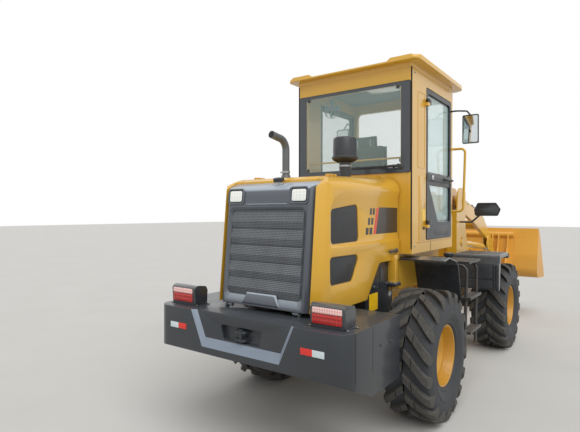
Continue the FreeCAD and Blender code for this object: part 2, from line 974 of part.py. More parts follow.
louvres = []
louvre_count = 5
louvre_low = size(1128)
louvre_pitch = (n.grille_high - 15 - louvre_low) / louvre_count
for step in range(louvre_count):
    low = louvre_low + louvre_pitch * step
    high = low + louvre_pitch - 4
    louvre = slab(
        f"louvre_{step}",
        "XZ",
        [
            (grille_face(low) - n.hood_sheet, low + 10),
            (grille_face(low) - 6, low),
            (grille_face(low) + 2, low),
            (grille_face(high) + 2, high),
            (grille_face(high) - 12, high),
        ],
        -341,
        341,
    )
    louvres.append(louvre)
louvre_back = slab(
    "louvre_back",
    "XZ",
    [
        (grille_face(size(1112)), 1112),
        (grille_face(size(1112)) + 5, 1112),
        (grille_face(n.grille_high - 13) + 5, n.grille_high - 13),
        (grille_face(n.grille_high - 13), n.grille_high - 13),
    ],
    -366,
    366,
)
keep(joined("grille_louvres", louvres + [louvre_back]))
work_lamp = slab(
    "work_lamp",
    "YZ",
    [(250, 1762, 18), (345, 1762, 18), (345, 1838, 18), (250, 1838, 18)],
    along(n.hood_rear_at) + 36,
    along(n.hood_rear_at) + 70.7,
)
keep(both("rear_work_lamps", work_lamp))

# Exhaust and pre-cleaner on the middle strip
exhaust_x, exhaust_y = along(-600), 200
keep(
    tube(
        "exhaust_pipe",
        [
            (exhaust_x, exhaust_y, n.hood_top + n.seat_gap),
            (exhaust_x, exhaust_y, n.hood_top + 350),
            (exhaust_x - 215, exhaust_y, n.hood_top + 372),
        ],
        90,
        31,
    )
)
cleaner = new_body("precleaner")
sketch = new_sketch(cleaner, "XZ", 0)
draw_outline(
    sketch,
    [
        (0, 0),
        (46, 0),
        (46, 130),
        (74, 150, 8),
        (74, 168),
        (104, 190, 12),
        (104, 300, 14),
        (84, 326, 16),
        (30, 334, 10),
        (30, 345),
        (0, 345),
    ],
)
turned = cleaner.newObject("PartDesign::Revolution", "Revolution")
turned.Profile = sketch
turned.ReferenceAxis = (origin_feature(cleaner, "Z_Axis"), [""])
turned.Angle = 360
put(cleaner, (along(-300), -200, n.hood_top + n.seat_gap))
keep(cleaner)

# Cab: base, floor, walls that meet at the corners, roof, doors and panes
cab_rear, cab_front = along(n.cab_rear_at), along(n.cab_front_at)
cab_inner = n.cab_half - n.cab_wall
cab_base = less(
    "cab_base",
    block("cab_base_out", cab_rear + 20, cab_front - 60, -480, 480, n.rail_high + n.seat_gap, n.cab_low),
    [block("cab_base_in", cab_rear + 32, cab_front - 72, -468, 468, n.rail_high - 10, n.cab_low - 20)],
)
floor_plate = block(
    "floor_plate", cab_rear, cab_front, -n.cab_half, n.cab_half, n.cab_low, n.cab_low + 40
)
keep(joined("cab_floor", [cab_base, floor_plate]))
wall_low = n.cab_low + 40
side_wall = new_body("side_wall")
pad(
    side_wall,
    "XZ",
    [(cab_rear, wall_low), (cab_front, wall_low), (cab_front, n.cab_high), (cab_rear, n.cab_high)],
    -n.cab_half,
    -cab_inner,
)
door_opening = [
    (along(n.door_rear_at) - n.moving_gap, n.door_low - n.moving_gap, 30),
    (along(n.door_front_at) + n.moving_gap - 30, n.door_low - n.moving_gap, 30),
    (along(n.door_front_at) + n.moving_gap - 30, n.door_high + n.moving_gap, 30),
    (along(n.door_rear_at) - n.moving_gap, n.door_high + n.moving_gap, 30),
]
pocket(side_wall, "XZ", door_opening, -n.cab_half - 5, -cab_inner + 5)
door_axis = (along(n.door_rear_at) - 10, -n.cab_half - 20)
hinge_heights = (1560, 2700)
wall_hinges = []
for height in hinge_heights:
    wall_hinges.append(
        slab(
            f"wall_hinge_{height}",
            "XY",
            [
                (door_axis[0] - 45, -n.cab_half - 36, 6),
                (door_axis[0] + 14, -n.cab_half - 36, 6),
                (door_axis[0] + 14, -n.cab_half - 6),
                (door_axis[0] - 8, -n.cab_half - 6),
                (door_axis[0] - 8, -n.cab_half + 1),
                (door_axis[0] - 45, -n.cab_half + 1),
            ],
            height - 30,
            height - n.pin_gap,
        )
    )
    wall_hinges.append(bar(f"wall_pin_{height}", "XY", door_axis[0], door_axis[1], 8, height - 20, height + 42))
quarter_window = [
    (cab_rear + 70, 2120, 25),
    (along(n.door_rear_at) - 75, 2120, 25),
    (along(n.door_rear_at) - 75, 2820, 25),
    (cab_rear + 70, 2820, 25),
]
right_wall = joined("cab_side_right", [side_wall] + wall_hinges)
keep(right_wall)
other_side = mirrored(right_wall)
other_side.Label = "cab_side_left"
keep(other_side)


def wall(label, low_x, high_x, window):
    body = new_body(label)
    pad(
        body,
        "YZ",
        [(-cab_inner, wall_low), (cab_inner, wall_low), (cab_inner, n.cab_high), (-cab_inner, n.cab_high)],
        low_x,
        high_x,
    )
    pocket(body, "YZ", window, low_x - 5, high_x + 5)
    return body


rear_window = [(-500, 2075, 50), (500, 2075, 50), (500, 2820, 50), (-500, 2820, 50)]
front_window = [(-520, 1700, 50), (520, 1700, 50), (520, 2860, 50), (-520, 2860, 50)]
keep(wall("cab_rear_wall", cab_rear, cab_rear + n.cab_wall, rear_window))
keep(wall("cab_front_wall", cab_front - n.cab_wall, cab_front, front_window))
keep(
    slab(
        "rear_glass",
        "YZ",
        [(-575, 2052, 60), (575, 2052, 60), (575, 2840, 60), (-575, 2840, 60)],
        cab_rear - n.glass_thick - n.seat_gap,
        cab_rear - n.seat_gap,
    )
)
keep(
    slab(
        "windscreen",
        "YZ",
        [(-520, 1700, 50), (520, 1700, 50), (520, 2860, 50), (-520, 2860, 50)],
        cab_front - 30,
        cab_front - 30 + n.glass_thick,
    )
)
roof = new_body("cab_roof")
pad(
    roof,
    "XY",
    [
        (cab_rear - n.roof_overhang, -n.cab_half - n.roof_overhang, 60),
        (cab_front + 150, -n.cab_half - n.roof_overhang, 110),
        (cab_front + 150, n.cab_half + n.roof_overhang, 110),
        (cab_rear - n.roof_overhang, n.cab_half + n.roof_overhang, 60),
    ],
    n.cab_high,
    n.roof_high,
)
soften(
    roof,
    28,
    lambda e: abs(e.BoundBox.ZMin - n.roof_high.value) < 1 and abs(e.BoundBox.ZMax - n.roof_high.value) < 1,
)
pocket(
    roof,
    "XY",
    [
        (cab_rear + n.cab_wall, -cab_inner, 30),
        (cab_front - n.cab_wall, -cab_inner, 30),
        (cab_front - n.cab_wall, cab_inner, 30),
        (cab_rear + n.cab_wall, cab_inner, 30),
    ],
    n.cab_high - 5,
    n.roof_high - 35,
)
keep(roof)

# Doors, each a framed leaf with an upper and a lower pane
door_front = along(n.door_front_at) - 30
door_rear = along(n.door_rear_at)
door = new_body("door_leaf")
pad(
    door,
    "XZ",
    [
        (door_rear, n.door_low, 24),
        (door_front, n.door_low, 24),
        (door_front, n.door_high, 24),
        (door_rear, n.door_high, 24),
    ],
    -n.cab_half,
    -n.cab_half + n.door_thick,
)
upper_pane = [
    (door_rear + 45, 2050, 30),
    (door_front - 45, 2050, 30),
    (door_front - 45, n.door_high - 45, 30),
    (door_rear + 45, n.door_high - 45, 30),
]
lower_pane = [
    (door_rear + 60, 1500, 60),
    (door_front - 60, 1500, 30),
    (door_front - 45, 1940, 30),
    (door_rear + 45, 1940, 30),
]
pocket(door, "XZ", upper_pane, -n.cab_half - 5, -n.cab_half + n.door_thick + 5)
pocket(door, "XZ", lower_pane, -n.cab_half - 5, -n.cab_half + n.door_thick + 5)
door_knuckles = []
for height in hinge_heights:
    knuckle = new_body(f"door_knuckle_{height}")
    pad(
        knuckle,
        "XY",
        [
            (door_axis[0], -n.cab_half - 30),
            (door_axis[0] + 70, -n.cab_half - 12),
            (door_axis[0] + 70, -n.cab_half + 1),
            (door_axis[0] + 12, -n.cab_half + 1),
            (door_axis[0], -n.cab_half - 8),
        ],
        height,
        height + 40,
    )
    disc(knuckle, "XY", door_axis[0], door_axis[1], 14, height, height + 40)
    disc(knuckle, "XY", door_axis[0], door_axis[1], 8 + n.pin_gap, height - 1, height + 41, cut=True)
    door_knuckles.append(knuckle)
right_door = joined("door_right", [door] + door_knuckles)
keep(right_door)
left_door = mirrored(right_door)
left_door.Label = "door_left"
keep(left_door)
pane_low = -n.cab_half + 14
upper_glass = slab("upper_glass", "XZ", upper_pane, pane_low, pane_low + n.glass_thick)
lower_glass = slab("lower_glass", "XZ", lower_pane, pane_low, pane_low + n.glass_thick)
right_glass = together("door_glass_right", [upper_glass, lower_glass])
left_glass = mirrored(right_glass)
left_glass.Label = "door_glass_left"
keep(right_glass, left_glass)

# Seat and steering console inside the cab
seat_pad = block("seat_pad", along(520), along(960), -235, 235, 1690, 1790)
seat_rest = slab(
    "seat_rest",
    "XZ",
    [(along(430), 1790), (along(540), 1790), (along(470), 2420, 40), (along(380), 2420, 40)],
    -220,
    220,
)
seat_box = block("seat_box", along(520), along(900), -200, 200, wall_low, 1690)
keep(joined("seat", [seat_pad, seat_rest, seat_box]))
column = slab(
    "column",
    "XZ",
    [(along(1180), wall_low), (along(1285), wall_low), (along(1215), 2060, 20), (along(1160), 2060, 20)],
    -90,
    90,
)
wheel_rim = spin("wheel_rim", [(-12, 176), (12, 176), (12, 200), (-12, 200)])
wheel_rim.Placement = FreeCAD.Placement(
    Vector(along(1140).value, 0, 2105), Rotation(Vector(1, 0, 0), Vector(0, 0, 0), Vector(0.35, 0, 0.94))
)
wheel_hub = spin("wheel_hub", [(-12, 0), (12, 0), (12, 40), (-60, 40), (-60, 0)])
keep(column)
column.Label = "steering_console"

# Rear fenders, side boxes and ladders
fender_top = [
    (along(185), 1262),
    (along(330), 1282, 120),
    (along(580), 1225, 120),
    (along(690), 870),
]
fender_under = [
    (along(678), 866),
    (along(570), 1213, 110),
    (along(330), 1269, 110),
    (along(185), 1249),
]
fender_leaf = slab("fender_leaf", "XZ", fender_top + fender_under, 480.3, 890)
keep(both("rear_fenders", fender_leaf))
side_box = block("side_box", along(-440), along(80), n.rail_half + n.seat_gap, n.side_box_half, 760, n.side_box_top)
keep(both("side_boxes", side_box))
rails = []
for name, x_low, x_high in (("rear", 640, 700), ("front", 1010, 1040)):
    rails.append(
        tube(
            f"ladder_rail_{name}",
            [
                (along(x_high), 700, 1180),
                (along(x_high), 935, 1180),
                (along(x_low) if name == "front" else along(x_low), 935, 400),
            ],
            60,
            15,
        )
    )
steps = []
for height in (550, 865):
    steps.append(block(f"step_{height}", along(650), along(1035), 890, 980, height, height + 25))
platform = block("platform", along(700), along(1100), 480 + n.seat_gap, 960, 1195, 1215)
ladder_arm = block("ladder_arm", along(720), along(1000), 480 + n.seat_gap, 720, 1150, 1195)
ladder = joined("ladder_one", rails + steps + [platform, ladder_arm])
keep(both("ladders", ladder))
grab = tube(
    "grab_rail",
    [
        (along(1352), 607.3, 1690),
        (along(1352), 720, 1690),
        (along(1352), 740, 2360),
        (along(1352), 607.3, 2360),
    ],
    45,
    13,
)
keep(both("grab_rails", grab))

# Cab mirrors on the upper front corners
mirror_head = block("mirror_head", along(1400), along(1430), 700, 860, 2420, 2720)
mirror_arm = tube(
    "mirror_arm",
    [
        (along(1300), n.cab_half + n.seat_gap, 2760),
        (along(1300), n.cab_half + 60, 2760),
        (along(1415), 740, 2770),
        (along(1415), 780, 2715),
    ],
    20,
    9,
)
keep(both("cab_mirrors", joined("mirror_one", [mirror_head, mirror_arm])))

# Steering pins
steer_base = (along(n.steer_base_at), n.steer_base_out)
steer_rod_end = (along(n.steer_rod_at), n.steer_rod_out)
front_steer_outline = [
    (steer_rod_end[0] - 60, 255),
    (steer_rod_end[0] + 110, 255),
    (steer_rod_end[0] + 36, n.steer_rod_out + 38, 36),
    (steer_rod_end[0] - 40, n.steer_rod_out + 38, 36),
]
front_steer_lugs = [
    slab(f"front_steer_{name}", "XY", front_steer_outline, n.steer_up + low, n.steer_up + low + n.steer_lug_thick)
    for name, low in (("low", -n.steer_lug_apart - n.steer_lug_thick), ("high", n.steer_lug_apart))
]
front_steer_mount = joined("front_steer_mount", front_steer_lugs)

# Front frame: tower plates for the boom, floor box over the axle and the outer hinge lugs
front_rear = hinge + 330
tower_rear, tower_front = along(n.tower_rear_at), along(n.tower_front_at)
tower_outline = [
    (tower_rear, n.rail_low),
    (along(2860), n.rail_low, 60),
    (along(2860), 800, 120),
    (along(2560), 1060, 150),
    (tower_front, 1500, 150),
    (tower_front, n.tower_top, 90),
    (tower_rear + 60, n.tower_top, 120),
    (tower_rear, 1500),
]
boom_bore = (boom_pin[0], boom_pin[1], n.boom_pin_radius + n.pin_gap)
lift_bore = (lift_base[0], lift_base[1], 26)
tower_in = slab(
    "tower_in", "XZ", tower_outline, n.tower_inner, n.tower_inner + n.tower_plate, [boom_bore, lift_bore]
)
tower_out = slab(
    "tower_out", "XZ", tower_outline, n.tower_outer, n.tower_outer + n.tower_plate, [boom_bore, lift_bore]
)
tower_web = block(
    "tower_web", tower_rear, tower_rear + 20, n.tower_inner, n.tower_outer + n.tower_plate,
    n.rail_low, 1700,
)
tower_cross = block(
    "tower_cross", tower_rear + 60, tower_rear + 80, -n.tower_inner, n.tower_inner, 900, 1900
)
axle_room = n.axle_ball_radius + 20
tower_floor_rear = block(
    "tower_floor_rear", tower_rear, front_axle - axle_room, -n.tower_inner, n.tower_inner, n.rail_low,
    n.rail_low + 25,
)
tower_floor_front = block(
    "tower_floor_front", front_axle + axle_room, along(2860), -n.tower_inner, n.tower_inner, n.rail_low,
    n.rail_low + 25,
)
tower_roof = block(
    "tower_roof", tower_rear, along(2640), -n.tower_inner, n.tower_inner, 960, 985
)
tilt_lug = slab(
    "tilt_lug",
    "XZ",
    [
        (tower_rear + 70, 1640),
        (tilt_base[0] + 20, tilt_base[1] - 58, 40),
        (tilt_base[0] + 60, tilt_base[1] + 60, 55),
        (tilt_base[0] - 80, tilt_base[1] + 62, 55),
        (tower_rear + 70, 1890),
    ],
    48,
    68,
    [(tilt_base[0], tilt_base[1], 22)],
)
front_lug_outline = [
    (front_rear + 20, -240),
    (hinge + 130, -150, 60),
    (hinge - 95, -100, 90),
    (hinge - 95, 100, 90),
    (hinge + 130, 150, 60),
    (front_rear + 20, 240),
]
front_lugs = [
    slab(f"front_lug_{low}", "XY", front_lug_outline, low, low + 30, [pin_hole])
    for low in (539, 619, 844, 924)
]
front_nose = block("front_nose", front_rear, front_rear + 30, -260, 260, 530, 985)
nose_side = block("nose_side", front_rear, tower_rear + 20, 235, 260, n.rail_low, 960)
nose_floor = block("nose_floor", front_rear, tower_rear + 20, -260, 260, n.rail_low, n.rail_low + 20)
keep(
    joined(
        "front_frame",
        [
            tower_in, mirrored(tower_in), tower_out, mirrored(tower_out), tower_web, mirrored(tower_web),
            tower_cross, tower_floor_rear, tower_floor_front, tower_roof, tilt_lug, mirrored(tilt_lug), front_nose, nose_side,
            mirrored(nose_side), nose_floor, front_steer_mount, mirrored(front_steer_mount),
        ]
        + front_lugs,
    )
)

# Front fenders and the mirrors on the tower
front_fender = less(
    "front_fender",
    slab(
        "front_fender_out",
        "XZ",
        [
            (along(1880), 790),
            (along(1930), 790),
            (along(1985), 1150),
            (along(2360), 1150),
            (along(2400), 1120),
            (along(2430), 1140),
            (along(2385), 1190, 30),
            (along(1930), 1190, 60),
            (along(1880), 1080, 60),
        ],
        n.tower_outer + n.tower_plate + n.seat_gap,
        970,
    ),
    [],
)
keep(both("front_fenders", front_fender))
tower_mirror = slab(
    "tower_mirror",
    "YZ",
    [(650, 1640, 20), (900, 1640, 20), (930, 1715, 20), (880, 1790, 20), (680, 1790, 20), (640, 1715, 20)],
    along(2130),
    along(2165),
)
mirror_stay = tube(
    "mirror_stay",
    [
        (along(2150), n.tower_outer + n.tower_plate + n.seat_gap, 1560),
        (along(2150), 600, 1560),
        (along(2150), 700, 1650),
    ],
    40,
    11,
)
keep(both("front_mirrors", joined("front_mirror_one", [tower_mirror, mirror_stay])))

# Boom: two shaped arms, cheeks round the lift pins and a cross tube that carries the rocker
boom_in = n.boom_side - n.boom_plate / 2
boom_out = n.boom_side + n.boom_plate / 2
arm_outline = [
    (boom_pin[0] - 95, boom_pin[1] + 90, 85),
    (along(3448), 1615, 300),
    (along(4020), 1262, 120),
    (bucket_pin[0] + 75, bucket_pin[1] + 60, 70),
    (bucket_pin[0] + 30, bucket_pin[1] - 82, 72),
    (bucket_pin[0] - 100, bucket_pin[1] - 30, 60),
    (along(4020), 960, 100),
    (along(3731), 1275, 150),
    (along(2908), 1555, 300),
    (boom_pin[0] - 95, boom_pin[1] - 100, 85),
]
arm = new_body("arm")
pad(
    arm,
    "XZ",
    arm_outline,
    boom_in,
    boom_out,
    [(boom_pin[0], boom_pin[1], n.boom_pin_radius), (bucket_pin[0], bucket_pin[1], n.boom_pin_radius)],
)
eye_radius = 42
disc(arm, "XZ", lift_rod_pin[0], lift_rod_pin[1], 118, boom_in - 5, boom_out + 5, cut=True)
cheek_outline = [
    (lift_rod_pin[0] - 175, lift_rod_pin[1] + 30, 60),
    (lift_rod_pin[0] - 55, lift_rod_pin[1] - 50, 50),
    (lift_rod_pin[0] + 50, lift_rod_pin[1] - 50, 50),
    (lift_rod_pin[0] + 190, lift_rod_pin[1] + 0, 60),
    (lift_rod_pin[0] + 60, lift_rod_pin[1] + 150, 40),
    (lift_rod_pin[0] - 60, lift_rod_pin[1] + 190, 40),
]
cheek_hole = [(lift_rod_pin[0], lift_rod_pin[1], 25)]
cheek_in = slab("cheek_in", "XZ", cheek_outline, boom_in - 18, boom_in, cheek_hole)
cheek_out = slab("cheek_out", "XZ", cheek_outline, boom_out, boom_out + 18, cheek_hole)
cross_tube = bar("cross_tube", "XZ", along(3400), 1500, 70, -boom_in, boom_in)
rocker_lug = slab(
    "rocker_lug",
    "XZ",
    [
        (along(3330), 1440, 30),
        (rocker_pin[0] + 20, rocker_pin[1] - 60, 50),
        (rocker_pin[0] + 65, rocker_pin[1] + 20, 50),
        (rocker_pin[0] - 10, rocker_pin[1] + 66, 50),
        (along(3330), 1580, 30),
    ],
    50,
    72,
    [(rocker_pin[0], rocker_pin[1], 30)],
)
pivot_pin = bar(
    "pivot_pin", "XZ", boom_pin[0], boom_pin[1], n.boom_pin_radius, n.tower_inner - 8,
    n.tower_outer + n.tower_plate + 8,
)
keep(
    joined(
        "boom",
        [
            arm, mirrored(arm), cheek_in, cheek_out, mirrored(cheek_in), mirrored(cheek_out), cross_tube,
            rocker_lug, mirrored(rocker_lug), pivot_pin, mirrored(pivot_pin),
        ],
    )
)

# Z-bar linkage: rocker between its lugs, link from its foot to the coupler, tilt cylinder above
rocker = new_body("rocker_plate")
pad(
    rocker,
    "XZ",
    [
        (rocker_pin[0] - 60, rocker_pin[1] + 20, 60),
        (link_rear[0] - 60, link_rear[1] - 10, 50),
        (link_rear[0] + 10, link_rear[1] - 60, 50),
        (link_rear[0] + 62, link_rear[1] + 5, 50),
        (rocker_pin[0] + 85, rocker_pin[1] + 10, 80),
        (tilt_rod_pin[0] + 52, tilt_rod_pin[1] + 20, 45),
        (tilt_rod_pin[0] - 5, tilt_rod_pin[1] + 55, 45),
        (tilt_rod_pin[0] - 55, tilt_rod_pin[1] + 10, 45),
    ],
    -42,
    42,
)
disc(rocker, "XZ", tilt_rod_pin[0], tilt_rod_pin[1], 105, -28, 28, cut=True)
disc(rocker, "XZ", link_rear[0], link_rear[1], 155, -27, 27, cut=True)
rocker_shaft = bar("rocker_shaft", "XZ", rocker_pin[0], rocker_pin[1], 29.7, -80, 80)
link_pin_radius = 22
foot_bosses = [
    bar(f"foot_boss_{name}", "XZ", link_rear[0], link_rear[1], 34, low, high)
    for name, low, high in (("left", 41, 52), ("right", -52, -41))
]
keep(joined("rocker", [rocker, rocker_shaft] + foot_bosses))


def bar_between(label, start, end, radius_start, radius_end, half_depth, half_thick):
    """A flat link along X and Z with a round eye at each end, built level and turned to its place."""
    length = math.hypot(end[0].value - start[0].value, end[1].value - start[1].value)
    angle = math.degrees(math.atan2(end[1].value - start[1].value, end[0].value - start[0].value))
    body = new_body(label)
    pad(
        body,
        "XZ",
        [(0, -half_depth), (length, -half_depth), (length, half_depth), (0, half_depth)],
        -half_thick,
        half_thick,
    )
    disc(body, "XZ", 0, 0, radius_start, -half_thick, half_thick)
    disc(body, "XZ", length, 0, radius_end, -half_thick, half_thick)
    disc(body, "XZ", 0, 0, link_pin_radius + n.pin_gap, -half_thick - 1, half_thick + 1, cut=True)
    disc(body, "XZ", length, 0, link_pin_radius + n.pin_gap, -half_thick - 1, half_thick + 1, cut=True)
    body.Placement = FreeCAD.Placement(
        Vector(start[0].value, 0, start[1].value), Rotation(Vector(0, 1, 0), -angle)
    )
    return body


keep(bar_between("tilt_link", link_rear, link_front, 50, 46, 34, 22))


def cylinder(name, start, end, y, barrel_radius, rod_radius, barrel_share, eye_half, pin_radius, pin_half, mirror):
    """A hydraulic cylinder between two pins: a barrel with its base eye, and a rod with its own."""
    run = math.hypot(end[0].value - start[0].value, end[1].value - start[1].value)
    angle = math.degrees(math.atan2(end[1].value - start[1].value, end[0].value - start[0].value))
    placement = FreeCAD.Placement(
        Vector(start[0].value, y, start[1].value), Rotation(Vector(0, 1, 0), -angle)
    )
    barrel_end = run * barrel_share
    barrel = new_body(f"{name}_barrel_tube")
    disc(barrel, "YZ", 0, 0, barrel_radius, 50, barrel_end)
    disc(barrel, "YZ", 0, 0, n.pin_gap + rod_radius, barrel_end - 560, barrel_end + 5, cut=True)
    base_eye = bar(f"{name}_base_eye", "XZ", 0, 0, barrel_radius + 8, -eye_half, eye_half)
    base_pin = bar(f"{name}_base_pin", "XZ", 0, 0, pin_radius, -pin_half, pin_half)
    rod = new_body(f"{name}_rod_bar")
    disc(rod, "YZ", 0, 0, rod_radius, barrel_end - 240, run - 30)
    rod_eye = bar(f"{name}_rod_eye", "XZ", run, 0, rod_radius + 18, -eye_half, eye_half)
    for piece in (barrel, base_eye, base_pin, rod, rod_eye):
        piece.Placement = placement
    whole_barrel = joined(f"{name}_barrel", [barrel, base_eye, base_pin])
    whole_rod = joined(f"{name}_rod", [rod, rod_eye])
    if mirror:
        whole_barrel.Label = f"{name}_barrel_one"
        whole_rod.Label = f"{name}_rod_one"
        return both(f"{name}_barrels", whole_barrel), both(f"{name}_rods", whole_rod)
    return whole_barrel, whole_rod


keep(*cylinder("lift", lift_base, lift_rod_pin, n.boom_side.value, 42, 24, 0.80, 20, 25.7, 66, True))
keep(*cylinder("tilt", tilt_base, tilt_rod_pin, 0, 42, 20, 0.74, 25, 21.7, 72, False))

# Coupler on the bucket's back and the bucket itself
back_low = (bucket_pin[0] + 120, 690)
back_high = (bucket_pin[0] + 255, 1350)
coupler_plate_outline = [
    (bucket_pin[0] - 70, bucket_pin[1] - 20, 60),
    (bucket_pin[0] + 10, bucket_pin[1] - 78, 60),
    (back_low[0], back_low[1] + 10),
    (back_high[0], back_high[1]),
    (bucket_pin[0] + 190, 1360, 40),
    (bucket_pin[0] + 110, 1100, 200),
    (bucket_pin[0] - 60, bucket_pin[1] + 60, 60),
]
coupler_hole = [(bucket_pin[0], bucket_pin[1], 30)]
coupler_plates = [
    slab(f"coupler_plate_{low}", "XZ", coupler_plate_outline, low, high, coupler_hole)
    for low, high in ((343, 367), (433, 457), (575, 595))
]
coupler_tube = bar("coupler_tube", "XZ", bucket_pin[0] + 225, 1320, 45, -660, 660)
coupler_back = slab(
    "coupler_back",
    "XZ",
    [
        (back_low[0] - 22, back_low[1] + 20),
        (back_low[0], back_low[1] + 10),
        (back_high[0], back_high[1]),
        (back_high[0] - 22, back_high[1]),
    ],
    -660,
    660,
)
link_ear = slab(
    "link_ear",
    "XZ",
    [
        (link_front[0] - 52, link_front[1], 45),
        (link_front[0], link_front[1] - 55, 45),
        (back_low[0] + 40, 940),
        (back_low[0] + 80, 1170),
        (link_front[0], link_front[1] + 60, 45),
    ],
    30,
    48,
)
link_pin = bar("link_pin", "XZ", link_front[0], link_front[1], link_pin_radius, -56, 56)
coupler_pin = bar("coupler_pin", "XZ", bucket_pin[0], bucket_pin[1], n.boom_pin_radius - 0.3, 343, 457)
keep(
    joined(
        "coupler",
        [piece for plate in coupler_plates for piece in (plate, mirrored(plate))]
        + [coupler_tube, coupler_back, link_ear, mirrored(link_ear), link_pin]
        + [coupler_pin, mirrored(coupler_pin)],
    )
)
lip_x = bucket_pin[0] + n.bucket_reach
t = n.bucket_sheet
bucket_outer = [
    (back_high[0] + 45, n.bucket_top),
    (back_high[0] + 5, 1260),
    (back_low[0] + 62.6, 1000, 300),
    (back_low[0] + 8, 660, 130),
    (lip_x, 598),
]
bucket_inner = [
    (lip_x, 620),
    (back_low[0] + 40, 688, 110),
    (back_low[0] + 84, 1000, 280),
    (back_high[0] + 25, 1262),
    (back_high[0] + 63, n.bucket_top),
]
bucket_shell = slab("bucket_shell", "XZ", bucket_outer + bucket_inner, -n.bucket_half, n.bucket_half)
side_outline = [
    (back_high[0] + 45, n.bucket_top),
    (back_high[0] + 5, 1260),
    (back_low[0] + 62.6, 1000, 300),
    (back_low[0] + 8, 660, 130),
    (lip_x, 598),
    (lip_x, 640, 12),
    (back_high[0] + 190, 1330, 90),
]
bucket_side = slab("bucket_side", "XZ", side_outline, n.bucket_half - t, n.bucket_half)
bucket_edge = slab(
    "bucket_edge",
    "XZ",
    [(lip_x - 190, 628), (lip_x - 190, 612), (lip_x, 597), (lip_x, 606)],
    -n.bucket_half,
    n.bucket_half,
)
keep(joined("bucket", [bucket_shell, bucket_side, mirrored(bucket_side), bucket_edge]))

# Steering cylinders lie flat between the two frames
steer_x = steer_rod_end[0].value - steer_base[0].value
steer_y = steer_rod_end[1].value - steer_base[1].value
steer_run = math.hypot(steer_x, steer_y)
steer_turn = math.degrees(math.atan2(steer_y, steer_x))
steer_barrel_end = 0.64 * steer_run
for side, side_name in ((1, "left"), (-1, "right")):
    placement = FreeCAD.Placement(
        Vector(steer_base[0].value, side * steer_base[1].value, n.steer_up.value),
        Rotation(Vector(0, 0, 1), side * steer_turn),
    )
    barrel = new_body(f"steer_barrel_tube_{side_name}")
    disc(barrel, "YZ", 0, 0, 34, 30, steer_barrel_end)
    disc(barrel, "YZ", 0, 0, 16 + n.pin_gap, 60, steer_barrel_end + 10, cut=True)
    eye = bar(f"steer_base_eye_{side_name}", "XY", 0, 0, 32, -36, 36)
    rod = new_body(f"steer_rod_bar_{side_name}")
    disc(rod, "YZ", 0, 0, 16, steer_run - 630, steer_run - 20)
    rod_eye = bar(f"steer_rod_eye_{side_name}", "XY", steer_run, 0, 32, -36, 36)
    base_bore = bar(f"steer_base_bore_{side_name}", "XY", 0, 0, n.steer_pin_radius + n.pin_gap, -40, 40)
    for piece in (barrel, eye, rod, rod_eye, base_bore):
        piece.Placement = placement
    keep(less(f"steer_barrel_{side_name}", joined(f"steer_tube_{side_name}", [barrel, eye]), [base_bore]))
    keep(joined(f"steer_rod_{side_name}", [rod, rod_eye]))

# Everything is checked before any file is written
document.recompute()
failed = [t.Label for t in document.Objects if "Invalid" in t.State or "Error" in t.State]
if failed:
    raise RuntimeError(f"not built: {failed}")
for part in parts:
    if part.Shape.isNull() or not part.Shape.isValid():
        raise RuntimeError(f"{part.Label}: bad shape")
    if not part.Shape.Solids:
        raise RuntimeError(f"{part.Label}: no solid")

os.makedirs("parts", exist_ok=True)
for part in parts:
    part.Shape.exportStep(f"parts/{part.Label}.step")
print(len(parts), "parts")
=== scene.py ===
import math

import bmesh
import bpy
from mathutils import Matrix, Vector


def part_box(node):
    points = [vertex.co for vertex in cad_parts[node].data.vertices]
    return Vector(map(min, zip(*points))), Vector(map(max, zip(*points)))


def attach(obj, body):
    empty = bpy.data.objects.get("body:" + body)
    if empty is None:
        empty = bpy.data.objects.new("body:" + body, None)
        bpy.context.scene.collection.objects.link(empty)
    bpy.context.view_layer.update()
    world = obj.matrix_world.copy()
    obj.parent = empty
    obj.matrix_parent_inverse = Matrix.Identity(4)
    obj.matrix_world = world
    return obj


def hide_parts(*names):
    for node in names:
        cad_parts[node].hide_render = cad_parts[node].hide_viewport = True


# A compact articulated wheel loader: finishes, tyres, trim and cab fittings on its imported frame.
# Metres, +X forward, +Y to the machine's left, +Z up.

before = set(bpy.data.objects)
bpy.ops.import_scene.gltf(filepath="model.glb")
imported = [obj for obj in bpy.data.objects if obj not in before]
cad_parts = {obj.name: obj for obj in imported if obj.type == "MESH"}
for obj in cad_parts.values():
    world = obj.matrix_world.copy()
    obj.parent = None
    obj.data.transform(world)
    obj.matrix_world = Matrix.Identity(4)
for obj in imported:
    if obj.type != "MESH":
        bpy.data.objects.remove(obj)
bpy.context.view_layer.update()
mm = 0.001
sides = ((1, "left"), (-1, "right"))


def middleOf(node):
    return [(a + b) / 2 for a, b in zip(*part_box(node))]


# Pieces are drawn in millimetres from the ground below the rear axle
rearAxle = middleOf("tyre_rear_left")[0]
machine = Matrix.Translation((rearAxle, 0, 0))


def srgb(code):
    channels = [int(code[i:i + 2], 16) / 255 for i in (1, 3, 5)]
    linear = [c / 12.92 if c <= 0.04045 else ((c + 0.055) / 1.055) ** 2.4 for c in channels]
    return (*linear, 1.0)


def perMetre(size):
    # texture scale that repeats once in this many millimetres
    return 1.0 / (size * mm)


def wire(tree, node, inputs):
    for name, value in inputs.items():
        socket = node.inputs[name]
        if isinstance(value, bpy.types.NodeSocket):
            tree.links.new(value, socket)
        else:
            socket.default_value = value


def addNode(tree, kind, settings=None, inputs=None):
    node = tree.nodes.new(kind)
    for name, value in (settings or {}).items():
        setattr(node, name, value)
    wire(tree, node, inputs or {})
    return node


